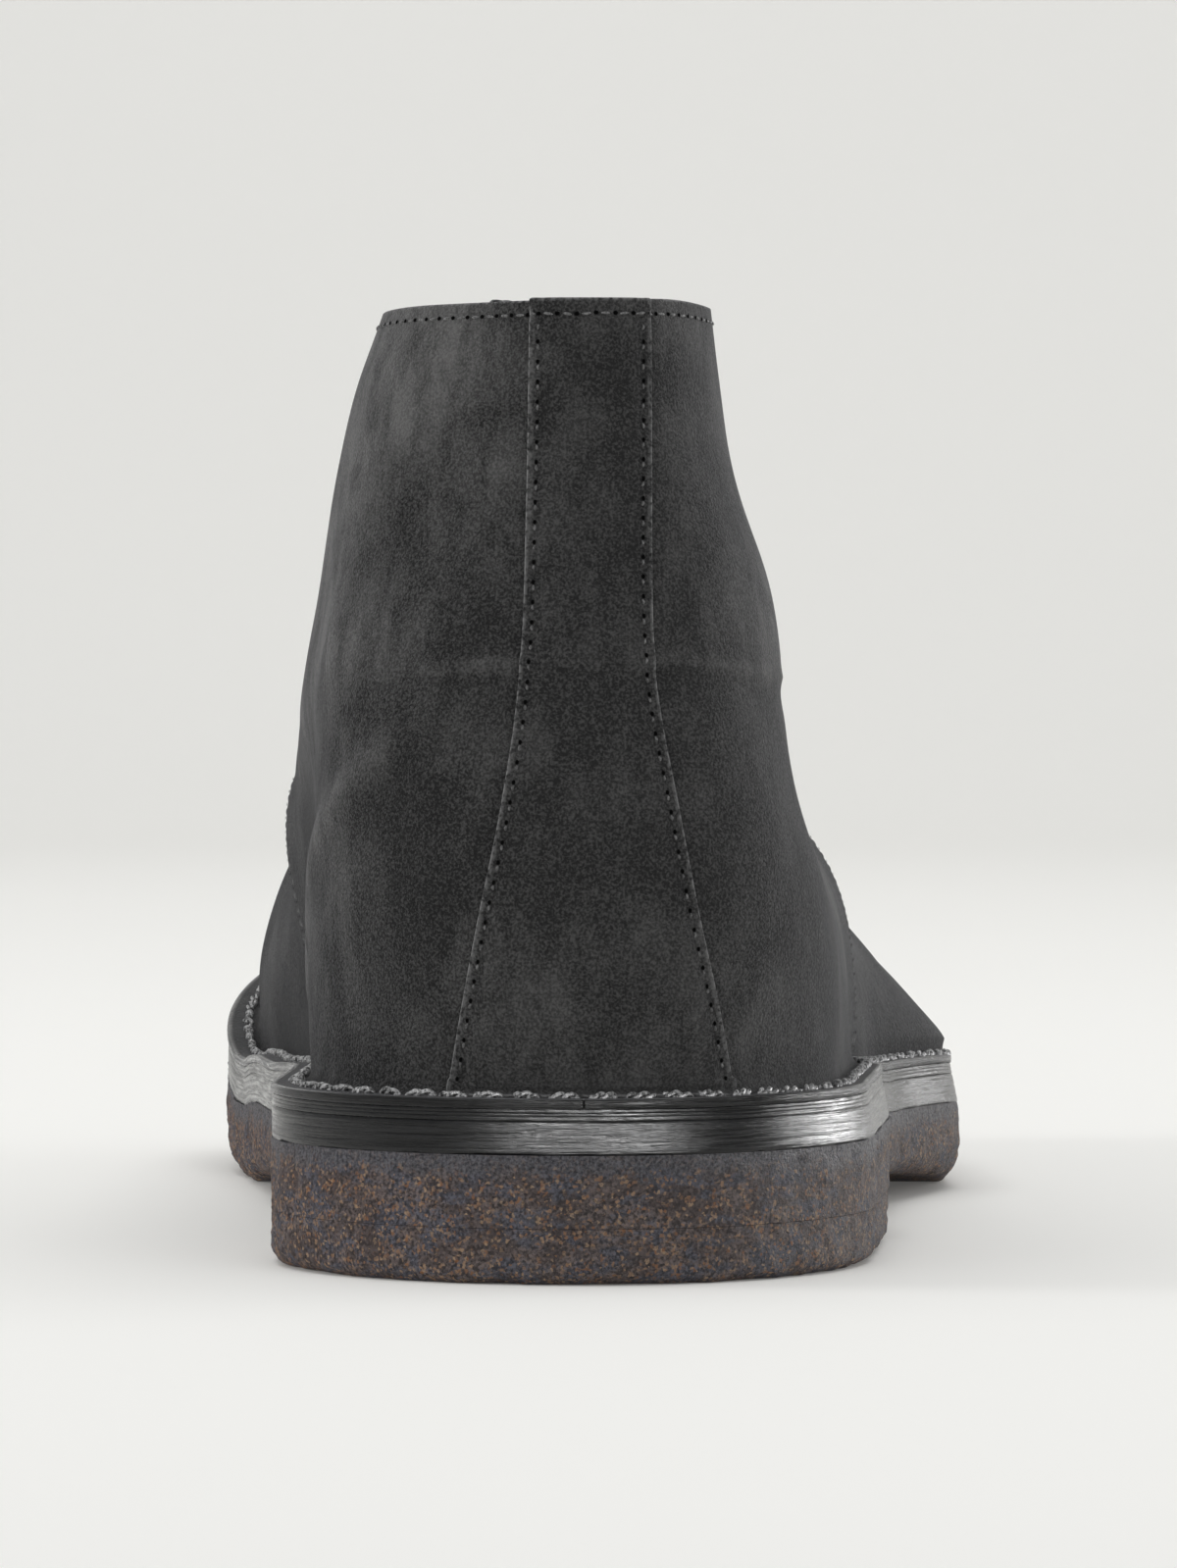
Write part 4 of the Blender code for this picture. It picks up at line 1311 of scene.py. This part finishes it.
def suede_material(nap, drag):
    """Charcoal suede with a light cut edge, a dressed black edge at the flange with a lighter rim, and a
    rough inside.
    """
    made, tree, shader = new_material("charcoal_suede")
    where = object_place(tree)
    fibres = use(tree, nap, {"Vector": where, "Brushed_nap_and_painted_light": kept(tree, "brushed_nap_and_painted_light"), "Fibre": .36})
    dark, light = grey(.0036), grey(.118, (1, .99, .98))
    colour = mix(tree, fibres["Tone"], dark, light)
    cut = times(tree, kept(tree, "edge"), fitted(tree, noise(tree, where, .7, 3), .38, .6))
    colour = mix(tree, times(tree, cut, .85), colour, grey(.21))
    colour = mix(tree, times(tree, kept(tree, "inside"), .8), colour, grey(.045, (1, .95, .9)))
    lines = use(tree, drag, {"Vector": place(tree), "Size": 1.0})
    dressed = fitted(tree, kept(tree, "dressed"), .25, .6)
    colour = mix(tree, dressed, colour, mix(tree, lines["Lines"], grey(.006), grey(.03)))
    # the dressed flange's rim is painted lighter in uneven patches: partly dye rubbed off, partly a painted
    # highlight
    rim = kept(tree, "edge")
    falling = math(tree, "MULTIPLY_ADD", rim, -2, 2, clamp=True)
    rim_rub_and_highlight = times(tree, times(tree, rim, 2, clamp=True), falling)
    worn = fitted(tree, lines["Patches"], .2, .8, .3, 1)
    rim_rub_and_highlight = times(tree, rim_rub_and_highlight, times(tree, dressed, worn))
    colour = mix(tree, rim_rub_and_highlight, colour, grey(.30))
    roughness = between(tree, dressed, .92, fitted(tree, lines["Lines"], 0, 1, .16, .40))
    height = between(tree, dressed, fibres["Height"], times(tree, lines["Lines"], .3))
    bump = bumped(tree, height, .9, .42)
    feed(tree, shader, {"Base Color": colour, "Roughness": roughness, "Normal": bump,
                        "Sheen Weight": .18, "Sheen Roughness": .30, "Sheen Tint": (.9, .9, .95, 1),
                        "Specular IOR Level": .15})
    return made


def polished_material(drag):
    """Black dressed edge, dragged smooth, a little uneven."""
    made, tree, shader = new_material("black_polished_edge")
    where = place(tree)
    lines = use(tree, drag, {"Vector": where, "Size": .8})
    colour = mix(tree, lines["Lines"], grey(.0015), grey(.010, (.95, .98, 1.08)))
    colour = mix(tree, times(tree, lines["Patches"], .4), colour, grey(.010))
    roughness = between(tree, lines["Lines"], .16, .36)
    height = math(tree, "ADD", lines["Lines"], times(tree, noise(tree, where, 3, 3), .6))
    bump = bumped(tree, height, .5, 0.1)
    feed(tree, shader, {"Base Color": colour, "Roughness": roughness, "Normal": bump,
                        "Specular IOR Level": .35})
    return made


def crepe_material():
    """Brown crepe rubber, speckled tan and slate, with black dye run down from the edge above."""
    made, tree, shader = new_material("speckled_crepe")
    where = place(tree)
    grain = noise(tree, where, .42, 3, .65, .1)
    # the grains' places are shaken, so that their borders aren't straight
    jitter = add(tree, "TexNoise", {"Vector": where, "Scale": 1 / (.35 * MM), "Detail": 2.0}).outputs["Color"]
    jitter = add(tree, "VectorMath", {0: jitter, "Scale": .32 * MM}, operation="SCALE").outputs[0]
    shaken = add(tree, "VectorMath", {0: where, 1: jitter}, operation="ADD").outputs[0]
    grains = add(tree, "TexVoronoi", {"Vector": shaken, "Scale": 1 / (.40 * MM)}).outputs["Color"]
    chance = add(tree, "SeparateXYZ", {0: grains}).outputs
    soft = noise(tree, where, 2.6, 4, .6, .5)
    fine = fitted(tree, math(tree, "MULTIPLY_ADD", grain, .9, times(tree, chance["X"], .22)), .36, .80)
    base = mix(tree, fine, (.030, .024, .024, 1), (.215, .170, .160, 1))
    patches = fitted(tree, noise(tree, where, 6, 3, .55, .2), .38, .66)
    base = mix(tree, times(tree, patches, .55), base, (.036, .025, .025, 1))
    slate = fitted(tree, noise(tree, stretched(tree, where, (.5, .5, 1)), 2.6, 4, .65, .3), .47, .59)
    base = mix(tree, times(tree, slate, .75), base,
               mix(tree, fine, (.026, .028, .038, 1), (.125, .135, .175, 1)))
    flecks = fitted(tree, math(tree, "MULTIPLY_ADD", soft, .9, chance["Y"]), 1.20, 1.36)
    flecks = times(tree, flecks, fitted(tree, grain, .30, .62, .25, .95))
    tan = mix(tree, chance["Z"], (.25, .11, .050, 1), (.40, .28, .18, 1))
    base = mix(tree, flecks, base, tan)
    height = add(tree, "SeparateXYZ", {0: where}).outputs["Z"]
    ragged = times(tree, math(tree, "SUBTRACT", noise(tree, where, 2.2, 4, .65), .5), .0062)
    dyed = fitted(tree, math(tree, "ADD", height, ragged), -.0037, -.0009)
    base = mix(tree, times(tree, dyed, .88), base,
               mix(tree, fitted(tree, grain, .3, .7), (.024, .024, .030, 1), (.140, .138, .152, 1)))
    roughness = between(tree, dyed, fitted(tree, grain, .3, .7, .5, .85), .5)
    bumps = math(tree, "ADD", grain, times(tree, soft, .8))
    bump = bumped(tree, bumps, 1.0, 0.6)
    feed(tree, shader, {"Base Color": base, "Roughness": roughness, "Normal": bump,
                        "Specular IOR Level": .15})
    return made


def thread_material(name, dark, light, size, roughness):
    """Waxed thread with twisted plies, lighter along their tops: partly its own grey, partly a painted
    highlight.
    """
    made, tree, shader = new_material(name)
    where = object_place(tree)
    plies = noise(tree, stretched(tree, where, (1.4, 1.4, .5), (.4, .5, .6)), size, 3, .6)
    wax = noise(tree, where, 1.6, 3, .6)
    tone = times(tree, fitted(tree, plies, .35, .65), fitted(tree, wax, .25, .7, .45, 1))
    # the light tone is partly the thread's own grey and partly a painted highlight on the ply tops
    colour = mix(tree, tone, dark, light)
    bump = bumped(tree, plies, .8, 0.12)
    dull = fitted(tree, wax, .3, .7, roughness, roughness + .25)
    feed(tree, shader, {"Base Color": colour, "Roughness": dull, "Normal": bump,
                        "Specular IOR Level": .3, "Sheen Weight": .3,
                        "Sheen Roughness": .4})
    return made


# near-black sheet that paints the shade inside the needle holes
def needle_shade_material():
    made, tree, shader = new_material("painted_needle_shade")
    depth = noise(tree, object_place(tree), .3, 2)
    feed(tree, shader, {"Base Color": mix(tree, depth, grey(.001), grey(.006)),
                        "Roughness": fitted(tree, depth, .3, .7, .8, 1), "Specular IOR Level": 0.0})
    return made


def lining_material():
    """Smooth leather of the insole: fine pores and soft creases."""
    made, tree, shader = new_material("smooth_lining_leather")
    where = object_place(tree)
    pores = add(tree, "TexVoronoi", {"Vector": where, "Scale": 1 / (.9 * MM)}, feature="SMOOTH_F1")
    clouds = noise(tree, where, 22, 4, .55)
    colour = mix(tree, fitted(tree, clouds, .3, .7), (.030, .026, .023, 1), (.062, .054, .047, 1))
    colour = mix(tree, fitted(tree, pores.outputs["Distance"], .5, .1, 0, .35), colour, grey(.02))
    height = math(tree, "ADD", pores.outputs["Distance"], times(tree, noise(tree, where, 3, 3), .6))
    bump = bumped(tree, height, .5, 0.2)
    feed(tree, shader, {"Base Color": colour, "Roughness": fitted(tree, clouds, .3, .7, .42, .6),
                        "Normal": bump})
    return made


def metal_material():
    """Black lacquered eyelets, a little worn on the rim."""
    made, tree, shader = new_material("black_lacquered_metal")
    where = object_place(tree)
    wear = fitted(tree, noise(tree, where, 1.1, 4, .6), .55, .75)
    colour = mix(tree, times(tree, wear, .6), grey(.012), grey(.16, (1, .95, .86)))
    bump = bumped(tree, noise(tree, where, .5, 3), .3, 0.05)
    feed(tree, shader, {"Base Color": colour, "Metallic": fitted(tree, wear, 0, 1, .55, .95),
                        "Roughness": fitted(tree, noise(tree, where, 2, 3), .3, .7, .28, .42),
                        "Normal": bump})
    return made


# ---------------------------------------------------------------- stage

def make_floor():
    """Pale floor that runs up into a wall behind, in one sheet."""
    wide, near, far, bend, high = 3.2, -2.6, 2.2, .9, 2.6
    profile = [(near, 0.0), (far, 0.0)]
    profile += [(far + bend * np.sin(a), bend * (1 - np.cos(a))) for a in np.linspace(.1, np.pi / 2, 15)]
    profile.append((far + bend, high))
    points = [(side * wide, y, z) for y, z in profile for side in (-1, 1)]
    faces = [(2 * n, 2 * n + 1, 2 * n + 3, 2 * n + 2) for n in range(len(profile) - 1)]
    mesh = bpy.data.meshes.new("studio_floor")
    mesh.from_pydata(points, [], faces)
    mesh.shade_smooth()
    made, tree, shader = new_material("pale_paper")
    where = object_place(tree)
    tone = noise(tree, where, 380, 2)
    feed(tree, shader, {"Base Color": mix(tree, tone, (.90, .893, .862, 1), (.915, .908, .877, 1)),
                        "Roughness": .9, "Specular IOR Level": .15,
                        "Emission Color": (1, .995, .965, 1), "Emission Strength": .06})
    mesh.materials.append(made)
    floor = bpy.data.objects.new("studio_floor", mesh)
    bpy.context.scene.collection.objects.link(floor)


def aim(thing, target):
    thing.rotation_euler = (Vector(target) - thing.location).to_track_quat("-Z", "Y").to_euler()


def lamp(name, location, target, size, watts, matt=True, glossy=True):
    light = bpy.data.lights.new(name, "AREA")
    light.shape = "RECTANGLE"
    light.size, light.size_y = size
    light.energy = watts
    made = bpy.data.objects.new(name, light)
    made.location = location
    made.visible_diffuse = matt
    made.visible_glossy = glossy
    bpy.context.scene.collection.objects.link(made)
    aim(made, target)


def make_lights():
    middle = (0, 0, .06)
    lamp("overhead_softbox", (0, -.1, 1.7), middle, (1.9, 1.9), 17.5)
    lamp("left_softbox", (-1.3, -.02, .30), middle, (.45, .50), 7.5, glossy=False)
    lamp("right_softbox", (1.1, .40, .34), middle, (.80, .50), 1.6, glossy=False)
    lamp("corner_glint", (1.05, .62, .24), middle, (.62, .34), 15, matt=False)
    lamp("narrow_front_softbox", (-.33, -1.3, .24), middle, (.26, .46), 16, matt=False)
    lamp("wide_front_softbox", (.46, -1.2, .24), middle, (.80, .40), 27, matt=False)
    lamp("backdrop_wash", (0, 1.2, 1.9), (0, 3.0, .8), (3.0, .6), 16.5)
    world = bpy.data.worlds.new("studio")
    world.use_nodes = True
    backing = world.node_tree.nodes["Background"]
    backing.inputs["Color"].default_value = (.97, .98, 1.0, 1)
    backing.inputs["Strength"].default_value = .34
    bpy.context.scene.world = world


# the camera looks at the heel from behind, a little down: x, y, z from the heel's back, in millimetres
CAMERA = (5.5, -981.0, 78.0)
LOOK_AT = (0.3, 60.0, 62.0)
LENS = 180.0


def make_camera():
    data = bpy.data.cameras.new("camera")
    data.lens = LENS
    data.sensor_width = 36
    data.clip_start = .05
    data.clip_end = 20
    made = bpy.data.objects.new("camera", data)
    made.location = (np.array(CAMERA) - ORIGIN) * MM
    bpy.context.scene.collection.objects.link(made)
    aim(made, (np.array(LOOK_AT) - ORIGIN) * MM)
    bpy.context.scene.camera = made
    view = bpy.context.scene.view_settings
    view.view_transform = "Standard"
    view.look = "None"


def main():
    nap, drag = nap_group(), drag_group()
    suede, polished, crepe = suede_material(nap, drag), polished_material(drag), crepe_material()
    # each thread's second colour is its light tone, partly a painted highlight
    fine_thread = thread_material("fine_grey_thread", grey(.035), grey(.19), .35, .5)
    sole_thread = thread_material("waxed_sole_thread", grey(.02), grey(.62), .55, .24)
    waxed = thread_material("waxed_lace_cord", grey(.008), grey(.035), .5, .45)
    lining, metal = lining_material(), metal_material()
    make_crepe(crepe)
    make_crepe_heel(crepe)
    make_midsole(polished)
    make_welt(polished)
    make_insole(lining)
    make_vamp(suede)
    for side in (1, -1):
        make_quarter(side, suede)
        for number in range(1, 1 + len(EYELET_LEVELS)):
            make_eyelet(side, number, metal)
    make_back_strip(suede)
    make_tongue(suede)
    make_lace(waxed)
    make_stitching(fine_thread, sole_thread, needle_shade_material())
    make_floor()
    make_lights()
    make_camera()


main()
